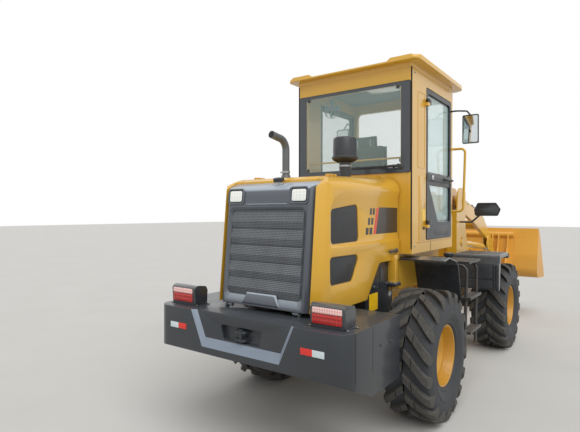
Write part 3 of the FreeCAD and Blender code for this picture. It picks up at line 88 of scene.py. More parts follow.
def newMaterial(name, fixed):
    # fixed: the shader's own constant values
    material = bpy.data.materials.new(name)
    material.use_nodes = True
    tree = material.node_tree
    shader = tree.nodes["Principled BSDF"]
    wire(tree, shader, fixed)
    return material, tree, shader, addNode(tree, "ShaderNodeTexCoord").outputs["Object"]


def noiseAt(tree, place, size, detail=3.0, roughness=0.5):
    return addNode(tree, "ShaderNodeTexNoise", None, {
        "Vector": place, "Scale": perMetre(size), "Detail": detail, "Roughness": roughness}).outputs["Fac"]


def cellsAt(tree, place, size, feature="F1", randomness=1.0):
    return addNode(tree, "ShaderNodeTexVoronoi", {"feature": feature}, {
        "Vector": place, "Scale": perMetre(size), "Randomness": randomness}).outputs["Distance"]


def remap(tree, value, low, high, toLow=0.0, toHigh=1.0):
    return addNode(tree, "ShaderNodeMapRange", {"clamp": True}, {
        "Value": value, "From Min": low, "From Max": high, "To Min": toLow, "To Max": toHigh}).outputs["Result"]


def blend(tree, factor, first, second):
    # colours are codes or sockets
    first, second = (srgb(c) if isinstance(c, str) else c for c in (first, second))
    return addNode(tree, "ShaderNodeMix", {"data_type": "RGBA", "blend_type": "MIX"},
                   {0: factor, 6: first, 7: second}).outputs[2]


def bump(tree, shader, height, strength, depth, edge=0):
    # depth in millimetres; sheet edges look rounded by this radius in millimetres
    inputs = {"Height": height, "Strength": strength, "Distance": depth * mm}
    if edge:
        inputs["Normal"] = addNode(tree, "ShaderNodeBevel", {"samples": 4}, {"Radius": edge * mm}).outputs["Normal"]
    wire(tree, shader, {"Normal": addNode(tree, "ShaderNodeBump", None, inputs).outputs["Normal"]})


def upFacing(tree, low, high):
    # 0 on walls, 1 on faces that look up, where dust settles and where the slate's painted sky highlight goes
    normal = addNode(tree, "ShaderNodeNewGeometry").outputs["Normal"]
    parts = addNode(tree, "ShaderNodeSeparateXYZ", None, {"Vector": normal})
    return remap(tree, parts.outputs["Z"], low, high)


def heightShare(tree, place, low, high):
    # 1 near the ground, 0 above: road dust thrown up by the wheels, and on the slate a painted highlight and on the rim
    #                             painted shade
    parts = addNode(tree, "ShaderNodeSeparateXYZ", None, {"Vector": place})
    return remap(tree, parts.outputs["Z"], low, high, 1.0, 0.0)


def times(tree, first, second, kind="MULTIPLY"):
    return addNode(tree, "ShaderNodeMath", {"operation": kind}, {0: first, 1: second}).outputs[0]


def rowsOf(columns, table):
    # one dictionary of named values for each row of a table
    return {key: dict(zip(columns.split(), row)) for key, row in table.items()}


# Sprayed enamel on steel: a level gloss film with faint orange peel, softened sheet edges and road dust; on the
# grille's slate the mixed-in colour is a painted sky highlight, and on the rim it is painted shade.
# Sizes of cloud, edge and peel in millimetres, heights of the mix near the ground in metres; upFrom is the slope that
# holds dust, and on the slate the painted highlight
enamels = rowsOf("colour shade clear cloud gloss edge dust dustFrom dustTo dustLow dustUp peel peelDepth upFrom grit", {
    "yellow": ("#DBA92F", "#D6A32A", 0.5, 620, 0.30, 4, "#B39B78", 0.45, 1.25, 0.28, 0.05, 5, 0.05),
    "cabYellow": ("#DDAC3A", "#D8A634", 0.5, 700, 0.28, 4, "#D9C9A4", 0.45, 1.25, 0.1, 0.22, 5, 0.05),
    # rim: the darker brown mixed in towards the bottom is painted shade, a darker copy of the rim's yellow
    "rim": ("#D09A2C", "#C69024", 0.3, 200, 0.34, 3, "#8A6428", 0.30, 0.95, 0.3, 0.05, 5, 0.06),
    "bucket": ("#E2A63E", "#DA9E38", 0.1, 420, 0.42, 3, "#A99070", 0.6, 1.1, 0.3, 0.1, 6, 0.06),
    "charcoal": ("#2C3137", "#282C31", 0.25, 500, 0.36, 4, "#7F8286", 0.30, 0.95, 0.05, 0.16, 5, 0.08),
    # slate: its pale blue-grey, mixed over faces that look up and near the foot, is a painted sky highlight, not dust
    "slate": ("#4E545D", "#484E56", 0.6, 400, 0.32, 4, "#B4BFCA", 0.5, 1.2, 0.1, 0.75, 5, 0.08, (0.12, 0.62), 0.9),
    # stack: its grey is raised for the sky's reflection on the pipe, a painted reflection
    "stack": ("#62686C", "#5A6064", 0.3, 150, 0.4, 2, "#8B8578", 0.3, 1.3, 0.1, 0.2, 4, 0.08),
    # a paler grey for the counterweight's ramps: a painted sky highlight, the same paint as the casting
    "slateSkyHighlight": ("#7F8B9A", "#778392", 0.15, 300, 0.36, 2, "#A6A9AD", 0.5, 1.2, 0.1, 0.3, 5, 0.06),
    "black": ("#26272A", "#212225", 0.1, 200, 0.38, 2, "#857E72", 0.3, 1.3, 0.3, 0.3, 4, 0.08),
})


def sprayedEnamel(name, look):
    material, tree, shader, place = newMaterial(name, {
        "IOR": 1.5, "Metallic": 0.0, "Coat Weight": look["clear"], "Coat Roughness": 0.08})
    cloud = noiseAt(tree, place, look["cloud"], 4.0)
    colour = blend(tree, remap(tree, cloud, 0.3, 0.7), look["colour"], look["shade"])
    # near the ground and on faces that look up a second colour is mixed in: road dust, on the slate a painted
    # highlight, on the rim painted shade
    nearGround = times(tree, heightShare(tree, place, look["dustFrom"], look["dustTo"]), look["dustLow"])
    onUpFaces = times(tree, upFacing(tree, *look.get("upFrom", (0.55, 0.98))), look["dustUp"])
    grit = remap(tree, noiseAt(tree, place, 24, 6.0, 0.65), 0.35, 0.65, look.get("grit", 0.35), 1.0)
    amount = times(tree, times(tree, nearGround, onUpFaces, "ADD"), grit)
    wire(tree, shader, {"Base Color": blend(tree, amount, colour, look["dust"]),
                        "Roughness": remap(tree, amount, 0.0, 0.6, look["gloss"], look["gloss"] + 0.4)})
    bump(tree, shader, noiseAt(tree, place, look["peel"], 2.0), look["peelDepth"], 0.4, look["edge"])
    return material


paint = {key: sprayedEnamel(f"sprayed_enamel_{key}", look) for key, look in enamels.items()}
print("stage: enamels", len(paint))

# Natural-rubber tyre compound: the casing stays blue-black and smooth, the lugs carry dry road dust
rubbers = rowsOf("colour worn dust patch grain dustShare gloss", {
    "casing": ("#33363A", "#3B3D40", "#4B4A48", 90, 12, 0.35, 0.5),
    "tread": ("#3F3F3F", "#4D4A45", "#6E6961", 60, 9, 0.6, 0.62),
})


def vulcanisedRubber(name, look):
    material, tree, shader, place = newMaterial(name, {"IOR": 1.52, "Specular IOR Level": 0.35})
    patch = noiseAt(tree, place, look["patch"], 5.0, 0.6)
    grain = noiseAt(tree, place, look["grain"], 4.0, 0.7)
    worn = blend(tree, remap(tree, patch, 0.35, 0.7), look["colour"], look["worn"])
    dusty = remap(tree, grain, 0.45, 0.75, 0.0, look["dustShare"])
    wire(tree, shader, {"Base Color": blend(tree, dusty, worn, look["dust"]),
                        "Roughness": remap(tree, patch, 0.3, 0.7, look["gloss"], look["gloss"] + 0.25)})
    bump(tree, shader, grain, 0.25, 0.8, 4)
    return material


rubber = {key: vulcanisedRubber(f"vulcanised_rubber_{key}", look) for key, look in rubbers.items()}

# Injection-moulded ABS and polypropylene: fine spark-eroded grain, low sheen, sky-grey highlights
plastics = rowsOf("colour shade clear gloss dustUp edge grain depth", {
    "black": ("#33363A", "#2D3033", 0.2, 0.38, 0.3, 3, 3, 0.25),
    "glossBlack": ("#3A3D42", "#35383C", 0.6, 0.22, 0.25, 3, 6, 0.06),
    "greyTrim": ("#55585B", "#4E5154", 0.0, 0.4, 0.2, 3, 2.5, 0.25),
    "liner": ("#8F9497", "#868B8E", 0.0, 0.7, 0.05, 3, 5, 0.3),
    "fanBlue": ("#7FA0B8", "#7496AF", 0.2, 0.3, 0.1, 1, 4, 0.05),
    "softGrip": ("#1C1D1F", "#19191B", 0.0, 0.6, 0.1, 2, 1.5, 0.3),
})


def mouldedPlastic(name, look):
    material, tree, shader, place = newMaterial(name, {
        "IOR": 1.46, "Coat Weight": look["clear"], "Coat Roughness": 0.15})
    tone = noiseAt(tree, place, 160, 3.0)
    colour = blend(tree, tone, look["colour"], look["shade"])
    onUpFaces = times(tree, upFacing(tree, 0.4, 0.98), look["dustUp"])
    wire(tree, shader, {"Base Color": blend(tree, onUpFaces, colour, "#8D8A84"),
                        "Roughness": remap(tree, tone, 0.3, 0.7, look["gloss"], look["gloss"] + 0.12)})
    bump(tree, shader, cellsAt(tree, place, look["grain"]), look["depth"], 0.4, look["edge"])
    return material


plastic = {key: mouldedPlastic(f"moulded_plastic_{key}", look) for key, look in plastics.items()}

# Tempered float glass, green-tinted: see-through; its pale colour shows more at a slant, a painted sky reflection
glassLook = {"colour": "#C9EAE8", "shade": "#D4F0EE", "film": 300, "face": 0.1, "slant": 0.6}


def floatGlass(look):
    material, tree, shader, place = newMaterial("tempered_float_glass", {
        "IOR": 1.52, "Roughness": 0.03, "Specular IOR Level": 0.6})
    material.surface_render_method = "BLENDED"
    slant = addNode(tree, "ShaderNodeLayerWeight", None, {"Blend": 0.35}).outputs["Facing"]
    wire(tree, shader, {
        "Base Color": blend(tree, noiseAt(tree, place, look["film"]), look["colour"], look["shade"]),
        "Alpha": remap(tree, slant, 0.0, 1.0, look["face"], look["slant"])})
    return material


glass = floatGlass(glassLook)


def twoTone(name, look, fixed, relief=None):
    # a finish in two shades mixed by a cloud (size in millimetres, detail, roughness of the noise), which
    # moves its gloss between two values too; depth is the relief's strength and its height in millimetres
    material, tree, shader, place = newMaterial(name, fixed)
    cloud = noiseAt(tree, place, *look["cloud"])
    share = remap(tree, cloud, *look["share"]) if "share" in look else cloud
    wire(tree, shader, {"Base Color": blend(tree, share, look["colour"], look["shade"])})
    if "gloss" in look:
        wire(tree, shader, {"Roughness": remap(tree, cloud, 0.3, 0.7, *look["gloss"])})
    if "depth" in look:
        bump(tree, shader, relief(tree, place) if relief else cloud, *look["depth"])
    return material


# Ground and hard-chromed rod: mirror bright with faint wipe marks
chrome = twoTone("hard_chrome_plated_steel", {
    "colour": "#D6D8DA", "shade": "#C4C7CA", "cloud": (14,), "gloss": (0.12, 0.24), "depth": (0.05, 0.1)},
    {"Metallic": 1.0})
# Turned and zinc-plated steel for pins, bolts and fittings: grey, slightly uneven
zinc = twoTone("zinc_plated_steel", {
    "colour": "#B9BBBD", "shade": "#8E9092", "cloud": (8, 4.0), "gloss": (0.28, 0.5), "depth": (0.15, 0.15)},
    {"Metallic": 1.0})
# Cast iron, as cast and painted: sand-grain skin
iron = twoTone("sand_cast_iron", {
    "colour": "#3B3E40", "shade": "#2E3032", "cloud": (4, 5.0, 0.7), "gloss": (0.55, 0.8), "depth": (0.5, 1.0)},
    {"Metallic": 0.0, "IOR": 1.5})
# Soot-coated inner bore of the exhaust: matt, uneven carbon
soot = twoTone("soot_coated_steel", {
    "colour": "#141414", "shade": "#1D1B1A", "cloud": (6, 5.0, 0.7), "gloss": (0.55, 0.8), "depth": (0.5, 1.0)},
    {"Metallic": 0.0, "IOR": 1.5})
# Black ceramic band fired on the edge of the glass: dense, glossy, slightly cloudy
ceramic = twoTone("fired_ceramic_band", {
    "colour": "#3A4047", "shade": "#343A41", "cloud": (90,), "gloss": (0.18, 0.28)},
    {"IOR": 1.52, "Coat Weight": 0.5, "Coat Roughness": 0.03})
# Back-silvered mirror: a bright metal film under clear glass
silvered = twoTone("back_silvered_glass", {
    "colour": "#D4DADC", "shade": "#CBD2D4", "cloud": (150, 2.0), "gloss": (0.02, 0.05)}, {"Metallic": 1.0})
# Seat cover of coated fabric: leather grain pressed into grey vinyl, duller where it is sat on
vinyl = twoTone("grained_vinyl_cover", {
    "colour": "#3C3F43", "shade": "#46494D", "cloud": (110, 4.0), "gloss": (0.45, 0.62), "depth": (0.35, 0.6)},
    {"IOR": 1.48, "Sheen Weight": 0.15}, lambda tree, place: cellsAt(tree, place, 6, "DISTANCE_TO_EDGE"))


# Printed vinyl film: flat colour under a thin gloss, faded in clouds
def vinylFilm(name, code):
    faded = [min(1.0, c * 1.12 + 0.01) for c in srgb(code)[:3]] + [1.0]
    return twoTone(name, {"colour": code, "shade": faded, "cloud": (60, 2.0), "share": (0.3, 0.8),
                          "gloss": (0.30, 0.42), "depth": (0.05, 0.1)},
                   {"IOR": 1.5, "Coat Weight": 0.2, "Coat Roughness": 0.1})


film = {key: vinylFilm(name, code) for key, name, code in (
    ("black", "printed_vinyl_black", "#2A2522"), ("red", "printed_vinyl_red", "#D63A2C"),
    ("white", "printed_vinyl_white", "#D9E2E4"), ("yellow", "printed_vinyl_yellow", "#F2C21C"),
    ("orange", "printed_vinyl_orange", "#E0A030"), ("reflectRed", "prismatic_film_red", "#D8281C"),
    ("reflectWhite", "prismatic_film_white", "#C9D6DA"))}

# Moulded lens over diodes: clear colour with fine prism ribs and square cells
lenses = rowsOf("name colour deep rib cell glow", {
    "red": ("moulded_acrylic_red", "#D21608", "#8E0A05", 6, 22, 0.04),
    "frost": ("moulded_acrylic_frost", "#F2DAD6", "#E09A92", 5, 18, 0.05),
    "white": ("moulded_polycarbonate_clear", "#F4F4EC", "#D8DCD8", 9, 19, 0.15),
})


def mouldedLens(look):
    material, tree, shader, place = newMaterial(look["name"], {
        "IOR": 1.49, "Coat Weight": 0.6, "Coat Roughness": 0.03, "Roughness": 0.2,
        "Emission Strength": look["glow"], "Emission Color": srgb(look["colour"])})
    rib = addNode(tree, "ShaderNodeTexWave", {"wave_type": "BANDS", "bands_direction": "Y"},
                  {"Vector": place, "Scale": perMetre(look["rib"]) / 6.2832 * 2.0, "Distortion": 0.0})
    cell = remap(tree, cellsAt(tree, place, look["cell"], randomness=0.0), 0.1, 0.6)
    wire(tree, shader, {"Base Color": blend(tree, cell, look["colour"], look["deep"])})
    bump(tree, shader, rib.outputs["Fac"], 0.25, 0.6)
    return material


lens = {key: mouldedLens(look) for key, look in lenses.items()}

# Perforated sheet steel, powder coated: round holes, painted dark as the shade of the space behind them. The real holes
# are 3 mm across; they are drawn further apart, or the picture could not show them. plane drops the axis across
# the sheet, so that slanted faces keep the pattern's size
sheets = rowsOf("name colour shade dark pitch hole plane", {
    "punched": ("perforated_powder_coated_steel", "#3E4043", "#383A3D", "#17181A", 9, 0.3, (1, 0, 1)),
    "woven": ("expanded_powder_coated_steel", "#787C80", "#6A6E72", "#33363A", 12, 0.34, (0, 1, 1)),
})


def perforatedSheet(look):
    material, tree, shader, place = newMaterial(look["name"], {"IOR": 1.5, "Roughness": 0.55})
    flat = addNode(tree, "ShaderNodeVectorMath", {"operation": "MULTIPLY"}, {0: place, 1: look["plane"]}).outputs[0]
    solid = remap(tree, cellsAt(tree, flat, look["pitch"], randomness=0.0), look["hole"], look["hole"] + 0.08)
    dust = remap(tree, noiseAt(tree, place, 120, 4.0), 0.35, 0.7)
    face = blend(tree, dust, look["colour"], look["shade"])
    wire(tree, shader, {"Base Color": blend(tree, solid, look["dark"], face)})
    bump(tree, shader, solid, 0.3, 1.0)
    return material


screen = {key: perforatedSheet(look) for key, look in sheets.items()}

# Hardened plate worn bright where it scrapes the ground, with rust in the scratches
wearLook = {"colour": "#8E8D8A", "shade": "#6C6A67", "rust": "#6B4F38", "streak": 14, "patch": 60}


def scrapedSteel(look):
    material, tree, shader, place = newMaterial("scraped_wear_steel", {"Metallic": 0.85})
    drawn = addNode(tree, "ShaderNodeMapping", None, {"Vector": place, "Scale": (0.15, 1.0, 1.0)}).outputs["Vector"]
    streak = noiseAt(tree, drawn, look["streak"], 4.0)
    rust = remap(tree, noiseAt(tree, place, look["patch"], 5.0, 0.6), 0.5, 0.7, 0.0, 0.6)
    wire(tree, shader, {
        "Base Color": blend(tree, rust, blend(tree, streak, look["colour"], look["shade"]), look["rust"]),
        "Roughness": remap(tree, streak, 0.3, 0.7, 0.35, 0.6)})
    bump(tree, shader, streak, 0.2, 0.3)
    return material


wornSteel = scrapedSteel(wearLook)
print("stage: materials", len(bpy.data.materials))


# Mesh building
def meshFrom(draw):
    # draw(bm) fills a bmesh; the mesh comes back with its faces turned outwards
    bm = bmesh.new()
    draw(bm)
    bmesh.ops.remove_doubles(bm, verts=bm.verts, dist=1e-3)
    bmesh.ops.recalc_face_normals(bm, faces=bm.faces)
    mesh = bpy.data.meshes.new("form")
    bm.to_mesh(mesh)
    bm.free()
    return mesh


def makePiece(name, body, material, slot, form, at=machine, sharp=32.0, node=None):
    # form draws into a bmesh or is a mesh, in millimetres in the frame of this matrix; a piece with a
    # node stands in for that solid
    mesh = meshFrom(form) if callable(form) else form
    mesh.name = name
    mesh.transform(at @ Matrix.Scale(mm, 4))
    piece = bpy.data.objects.new(name, mesh)
    bpy.context.scene.collection.objects.link(piece)
    for each in material if isinstance(material, list) else [material]:
        mesh.materials.append(each)
    for face in mesh.polygons:
        face.use_smooth = True
    mesh.set_sharp_from_angle(angle=math.radians(sharp))
    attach(piece, body)
    if node:
        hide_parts(node)
    return piece


def piece(name, body, material, slot, **options):
    # makes a piece at once from the drawing function below it
    return lambda draw: makePiece(name, body, material, slot, draw, **options)


axesOf = {"xz": (0, 2, 1), "yz": (1, 2, 0), "xy": (0, 1, 2)}


def spot(plane, u, v, w):
    out = [0.0, 0.0, 0.0]
    for axis, value in zip(axesOf[plane], (u, v, w)):
        out[axis] = value
    return Vector(out)


def span(side, low, high):
    # two distances from the middle plane, as Y on this side of the machine
    return sorted((side * low, side * high))


def frameOf(left, right, low, high, radius=0):
    return [(left, low, radius), (right, low, radius), (right, high, radius), (left, high, radius)]


def roundOf(count, first=0.0):
    # cosine and sine of evenly spaced directions
    for step in range(count):
        angle = 2 * math.pi * (step + first) / count
        yield math.cos(angle), math.sin(angle)


def rounded(corners, steps=4):
    # corners (u, v[, radius]) become points, each round made of short steps
    points, count = [], len(corners)
    for i, corner in enumerate(corners):
        here = Vector(corner[:2])
        if len(corner) < 3 or corner[2] <= 0:
            points.append(here)
            continue
        into = (here - Vector(corners[i - 1][:2])).normalized()
        out = (Vector(corners[(i + 1) % count][:2]) - here).normalized()
        turn = math.atan2(into.x * out.y - into.y * out.x, into.dot(out))
        start = here - into * (corner[2] * math.tan(abs(turn) / 2))
        middle = start + Vector((-into.y, into.x)) * (1 if turn > 0 else -1) * corner[2]
        for step in range(steps + 1):
            points.append(middle + Matrix.Rotation(turn * step / steps, 2) @ (start - middle))
    return points


def addSkin(bm, rings, material=0, turned=False):
    # closed rings of as many vertices, joined one to the next
    for lower, upper in zip(rings, rings[1:]):
        for k in range(len(lower)):
            after = (k + 1) % len(lower)
            corners = [lower[k], lower[after], upper[after], upper[k]]
            if turned:
                corners[1:] = corners[:0:-1]
            bm.faces.new(corners).material_index = material


def addPrism(bm, plane, corners, low, high, bevel=0.0, material=0, steps=4):
    points = rounded(corners, steps)
    lower, upper = ([bm.verts.new(spot(plane, p.x, p.y, at)) for p in points] for at in (low, high))
    ends = [bm.faces.new(lower), bm.faces.new(upper[::-1])]
    for face in ends:
        face.material_index = material
    addSkin(bm, [lower, upper], material, True)
    if bevel > 0:
        rims = list({e for face in ends for e in face.edges})
        bmesh.ops.bevel(bm, geom=rims, offset=bevel, segments=2, affect="EDGES", profile=0.6,
                        clamp_overlap=True, material=-1)


def addBlock(bm, low, high, bevel=0.0, material=0):
    addPrism(bm, "xy", frameOf(low[0], high[0], low[1], high[1], bevel * 1.5), low[2], high[2], bevel, material, 2)


def addLathe(bm, axis, centre, profile, segments=24, material=0):
    # profile: (along the axis, radius) pairs from one end to the other; a ring's profile ends where it starts
    turn = Vector(axis).normalized().to_track_quat("Z", "Y").to_matrix().to_4x4()
    place = Matrix.Translation(Vector(centre)) @ turn
    rings = []
    for along, radius in profile:
        around = roundOf(segments) if radius >= 1e-6 else [(0, 0)]
        rings.append([bm.verts.new(place @ Vector((radius * c, radius * s, along))) for c, s in around])
    for lower, upper in zip(rings, rings[1:]):
        for step in range(segments):
            after = (step + 1) % segments
            if len(lower) == 1 and len(upper) == 1:
                continue
            if len(lower) == 1:
                face = bm.faces.new((lower[0], upper[after], upper[step]))
            elif len(upper) == 1:
                face = bm.faces.new((lower[step], lower[after], upper[0]))
            else:
                face = bm.faces.new((lower[step], lower[after], upper[after], upper[step]))
            face.material_index = material
    for ring in (rings[0], rings[-1]):
        if len(ring) > 1 and profile[0] != profile[-1]:
            bm.faces.new(ring).material_index = material


def addBolt(bm, axis, centre, size, material=0):
    # a flanged hexagon head of this width across flats
    radius = size / 2
    for sides, profile in ((16, ((0, 1.45), (0.18, 1.4), (0.24, 1.1), (0.24, 0))),
                           (6, ((0.2, 0), (0.2, 1.15), (0.85, 1.15), (1.0, 0.95), (1.0, 0)))):
        addLathe(bm, axis, centre, [(radius * along, radius * wide) for along, wide in profile], sides, material)


def pathPoints(points, bend, steps=5):
    # straight runs joined by round bends
    spots = [Vector(p) for p in points]
    out = [spots[0]]
    for before, corner, after in zip(spots, spots[1:], spots[2:]):
        into, leave = (corner - before).normalized(), (after - corner).normalized()
        turn = into.angle(leave)
        if turn < 1e-3:
            continue
        start = corner - into * (bend * math.tan(turn / 2))
        axis = into.cross(leave).normalized()
        middle = start + axis.cross(into) * bend
        for step in range(steps + 1):
            out.append(middle + Matrix.Rotation(turn * step / steps, 3, axis) @ (start - middle))
    return out + [spots[-1]]


def addTube(bm, points, radius, sides=10, material=0):
    # a round bar along the points, closed at both ends
    points = [Vector(p) for p in points]
    rings, up = [], None
    for i, here in enumerate(points):
        ahead = (points[min(i + 1, len(points) - 1)] - points[max(i - 1, 0)]).normalized()
        up = ahead.orthogonal().normalized() if up is None else up
        up = (up - ahead * up.dot(ahead)).normalized()
        side = ahead.cross(up)
        rings.append([bm.verts.new(here + (up * c + side * s) * radius) for c, s in roundOf(sides)])
    addSkin(bm, rings, material)
    for ring in (rings[0], rings[-1]):
        bm.faces.new(ring).material_index = material


def addRing(bm, plane, outer, inner, low, high, material=0, steps=4):
    # a flat band between two outlines of as many corners
    lowOut, lowIn, highOut, highIn = (
        [bm.verts.new(spot(plane, p.x, p.y, at)) for p in rounded(outline, steps)]
        for at in (low, high) for outline in (outer, inner))
    addSkin(bm, [lowOut, highOut, highIn, lowIn, lowOut], material, True)


def addLoft(bm, plane, sections):
    # ruled between two outlines, each given as (place across the plane, corners)
    rings = [[bm.verts.new(spot(plane, p.x, p.y, place)) for p in rounded(corners, 6)]
             for place, corners in sections]
    bm.faces.new(rings[0])
    bm.faces.new(rings[1][::-1])
    addSkin(bm, rings, 0, True)


# Tyres: a ply carcass with rim-guard and sidewall rings, and slanting bars that run from the middle over
# each shoulder, with a sipe behind the centre block. Stations: distance from the middle plane, how far
# ahead of the tyre's top the bar's middle lies there, and its half length
tyreLook = {"bars": 18, "depth": 34, "sipe": 7, "sipeAt": 66, "sipeDepth": 12, "chamfer": 5, "beadDepth": 273,
            "turnRadius": 520,
            "stations": ((5, 112, 38), (78, 38, 39), (145, -38, 41), (208, -102, 46))}


def barAt(w):
    stations = tyreLook["stations"]
    for (w0, x0, h0), (w1, x1, h1) in zip(stations, stations[1:]):
        if w <= w1:
            break
    share = max(0.0, (w - w0) / (w1 - w0))
    return x0 + (x1 - x0) * share, h0 + (h1 - h0) * share


def addBar(bm, side, head, rows):
    # rows: (distance from the middle plane, top radius, foot radius, foot's distance, share of width)
    rings, chamfer = [], tyreLook["chamfer"]
    for w, top, foot, footAt, wide in rows:
        ahead, half = barAt(w)
        ring = []
        for r, at, x in ((foot, footAt, -half - 4), (top - chamfer, w, -half), (top, w, -half + chamfer),
                         (top, w, half - chamfer), (top - chamfer, w, half), (foot, footAt, half + 4)):
            angle = head + math.atan2(ahead + x * wide, tyreLook["turnRadius"])
            ring.append(bm.verts.new((r * math.sin(angle), side * at, r * math.cos(angle))))
        rings.append(ring)
    addSkin(bm, rings, 1)
    for ring in (rings[0], rings[-1]):
        bm.faces.new(ring).material_index = 1


def makeTyre(node, body):
    low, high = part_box(node)
    radius = (high[2] - low[2]) / 2 / mm
    bead, look = radius - tyreLook["beadDepth"], tyreLook
    tread, foot, cut = radius - look["depth"], radius - look["depth"] - 3, radius - look["sipeDepth"]
    casing = [(158, bead), (172, bead + 10), (179, bead + 24), (177, bead + 34), (184, bead + 48),
              (195, bead + 85), (198.5, bead + 100), (198.5, bead + 106), (196, bead + 110), (197.5, bead + 150),
              (193, radius - 92), (186, radius - 66), (180, radius - 52), (166, radius - 44), (132, radius - 35),
              (90, tread), (45, tread), (0, tread)]
    casing += [(-w, r) for w, r in reversed(casing[:-1])]
    before, behind = look["sipeAt"] - look["sipe"] / 2, look["sipeAt"] + look["sipe"] / 2
    base = [(w, cut, foot, w, 0.98) for w in (4, 35, 78, 112, 145, 170, 188)]
    block = [(w, radius, foot, w, 1.0) for w in (4, 35, before)]
    outer = [(w, radius, foot, w, 1.0) for w in (behind, 90, 112, 145)]
    outer += [(170, radius - 5, foot - 4, 170, 1.0), (188, radius - 15, foot - 14, 178, 1.0),
              (196, radius - 30, radius - 62, 181, 0.98), (198.5, radius - 56, radius - 78, 184, 0.9),
              (197.5, radius - 82, radius - 92, 188, 0.66), (196, radius - 98, radius - 104, 190, 0.3)]

    def draw(bm):
        addLathe(bm, (0, 1, 0), (0, 0, 0), casing + [casing[0]], 96)
        for side in (1, -1):
            for step in range(look["bars"]):
                head = 2 * math.pi * (step + (0.5 if side < 0 else 0.0)) / look["bars"]
                for rows in (base, block, outer):
                    addBar(bm, side, head, rows)

    makePiece(f"{node}_lugged", body, [rubber["casing"], rubber["tread"]], "tyre", draw,
              Matrix.Translation(middleOf(node)), 24, node)


# Wheels: the drive flange, its cap, nuts and valve on the dished disc, and the lock ring of the outer flange.
# Nuts and cap bolts: count, radius of their circle, width
hubLook = {"disc": 24.5, "nuts": (10, 110, 24), "capBolts": (6, 54, 13), "cap": 52, "lockRing": 152}


def makeHub(axle, side, sideName):
    axis, disc = (0, side, 0), hubLook["disc"]

    def draw(bm):
        addLathe(bm, axis, (0, side * disc, 0), [(-1, 92), (8, 92), (12, 88), (40, 84), (48, 78), (52, 66), (52, 40),
                                                 (60, 34), (62, 20), (62, 0)], 40)
        for (count, circle, width), at in ((hubLook["nuts"], disc), (hubLook["capBolts"], disc + hubLook["cap"])):
            for c, s in roundOf(count, 0.5):
                addBolt(bm, axis, (circle * s, side * at, circle * c), width, 1)
        addTube(bm, [(0, side * 66, 196), (0, side * 88, 190), (0, side * 118, 176)], 5, 8, 1)
        addLathe(bm, axis, (0, side * hubLook["lockRing"], 0), [(0, 236), (0, 247), (5, 247.5), (9, 243), (9, 238),
                                                                (5, 233), (0, 236)], 64)

    makePiece(f"hub_{axle}_{sideName}", f"wheel_{axle}_{sideName}", [paint["rim"], zinc], "rim_paint", draw,
              Matrix.Translation(middleOf(f"tyre_{axle}_{sideName}")))


for axle in ("rear", "front"):
    for side, sideName in sides:
        makeTyre(f"tyre_{axle}_{sideName}", f"wheel_{axle}_{sideName}")
        makeHub(axle, side, sideName)
print("stage: wheels")

# Solids keep their shape and take their finish here; those that a piece below stands in for need none
dressed = (
    (paint["cabYellow"], "cab_floor cab_rear_wall cab_front_wall cab_side_left cab_side_right"),
    (paint["black"], "door_left door_right ladders"),
    (paint["yellow"], "grab_rails front_frame boom rocker tilt_link tilt_barrel lift_barrels steer_barrel_left "
                      "steer_barrel_right rear_frame"),
    (paint["rim"], "rim_rear_left rim_rear_right rim_front_left rim_front_right"),
    (paint["bucket"], "bucket coupler"),
    (paint["charcoal"], "tow_hitch rear_axle front_axle side_boxes"),
    (plastic["glossBlack"], "rear_fenders front_fenders"),
    (plastic["black"], "front_mirrors cab_mirrors steering_console"),
    (glass, "windscreen door_glass_left door_glass_right"),
    (chrome, "tilt_rod lift_rods steer_rod_left steer_rod_right"),
    (iron, "power_unit"),
)
for material, names in dressed:
    for name in names.split():
        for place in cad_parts[name].material_slots:
            place.material = material


# Sheet-metal forms made here by cutting closed meshes: the hood, its grille, the cab's roof, the counterweight
def combine(first, *steps):
    # each step is (DIFFERENCE, INTERSECT or UNION, closed mesh)
    things = []
    for mesh in [first] + [mesh for kind, mesh in steps]:
        things.append(bpy.data.objects.new("cut", mesh))
        bpy.context.scene.collection.objects.link(things[-1])
    for (kind, mesh), tool in zip(steps, things[1:]):
        change = things[0].modifiers.new("cut", "BOOLEAN")
        change.operation, change.solver, change.object = kind, "EXACT", tool
    shaped = things[0].evaluated_get(bpy.context.evaluated_depsgraph_get())
    done = bpy.data.meshes.new_from_object(shaped)
    for thing in things:
        bpy.data.objects.remove(thing)
    return done


def solid(kind, *settings):
    return meshFrom(lambda bm: kind(bm, *settings))


def edited(change, *meshes):
    # one mesh from several, after this change to them
    bm = bmesh.new()
    for mesh in meshes:
        bm.from_mesh(mesh)
    change(bm)
    mesh = bpy.data.meshes.new("form")
    bm.to_mesh(mesh)
    bm.free()
    return mesh


def merged(*meshes):
    return edited(lambda bm: None, *meshes)


def bevelled(mesh, width, angle=32.0):
    def soften(bm):
        bmesh.ops.remove_doubles(bm, verts=bm.verts, dist=0.05)
        bmesh.ops.dissolve_limit(bm, angle_limit=math.radians(1), verts=bm.verts, edges=bm.edges)
        rims = [e for e in bm.edges if len(e.link_faces) == 2 and e.calc_face_angle(0) > math.radians(angle)]
        bmesh.ops.bevel(bm, geom=rims, offset=width, segments=2, affect="EDGES", profile=0.6, clamp_overlap=True)

    return edited(soften, mesh)


def flipped(mesh):
    # the same piece on the other side of the machine
    copy = mesh.copy()
    copy.transform(Matrix.Scale(-1, 4, (0, 1, 0)))
    copy.flip_normals()
    return copy


hoodSize = {"rear": -1180, "front": 159, "half": 500, "low": 990, "top": 1985, "fall": 2.6, "crown": 120, "lean": 5.4,
            "corner": 130, "grilleHalf": 412, "capAt": 87, "cap": 1850, "sheet": 22, "sideSheet": 32, "spine": 365,
            "split": 6, "shoulder": 1872, "ledge": 1442, "field": 15, "earsAt": (-771, 19), "hoopAt": (-170, -110)}
crownSlope = math.tan(math.radians(hoodSize["fall"]))
panelLean = math.tan(math.radians(hoodSize["lean"]))


def topAt(x):
    return hoodSize["top"] - (hoodSize["front"] - x) * crownSlope


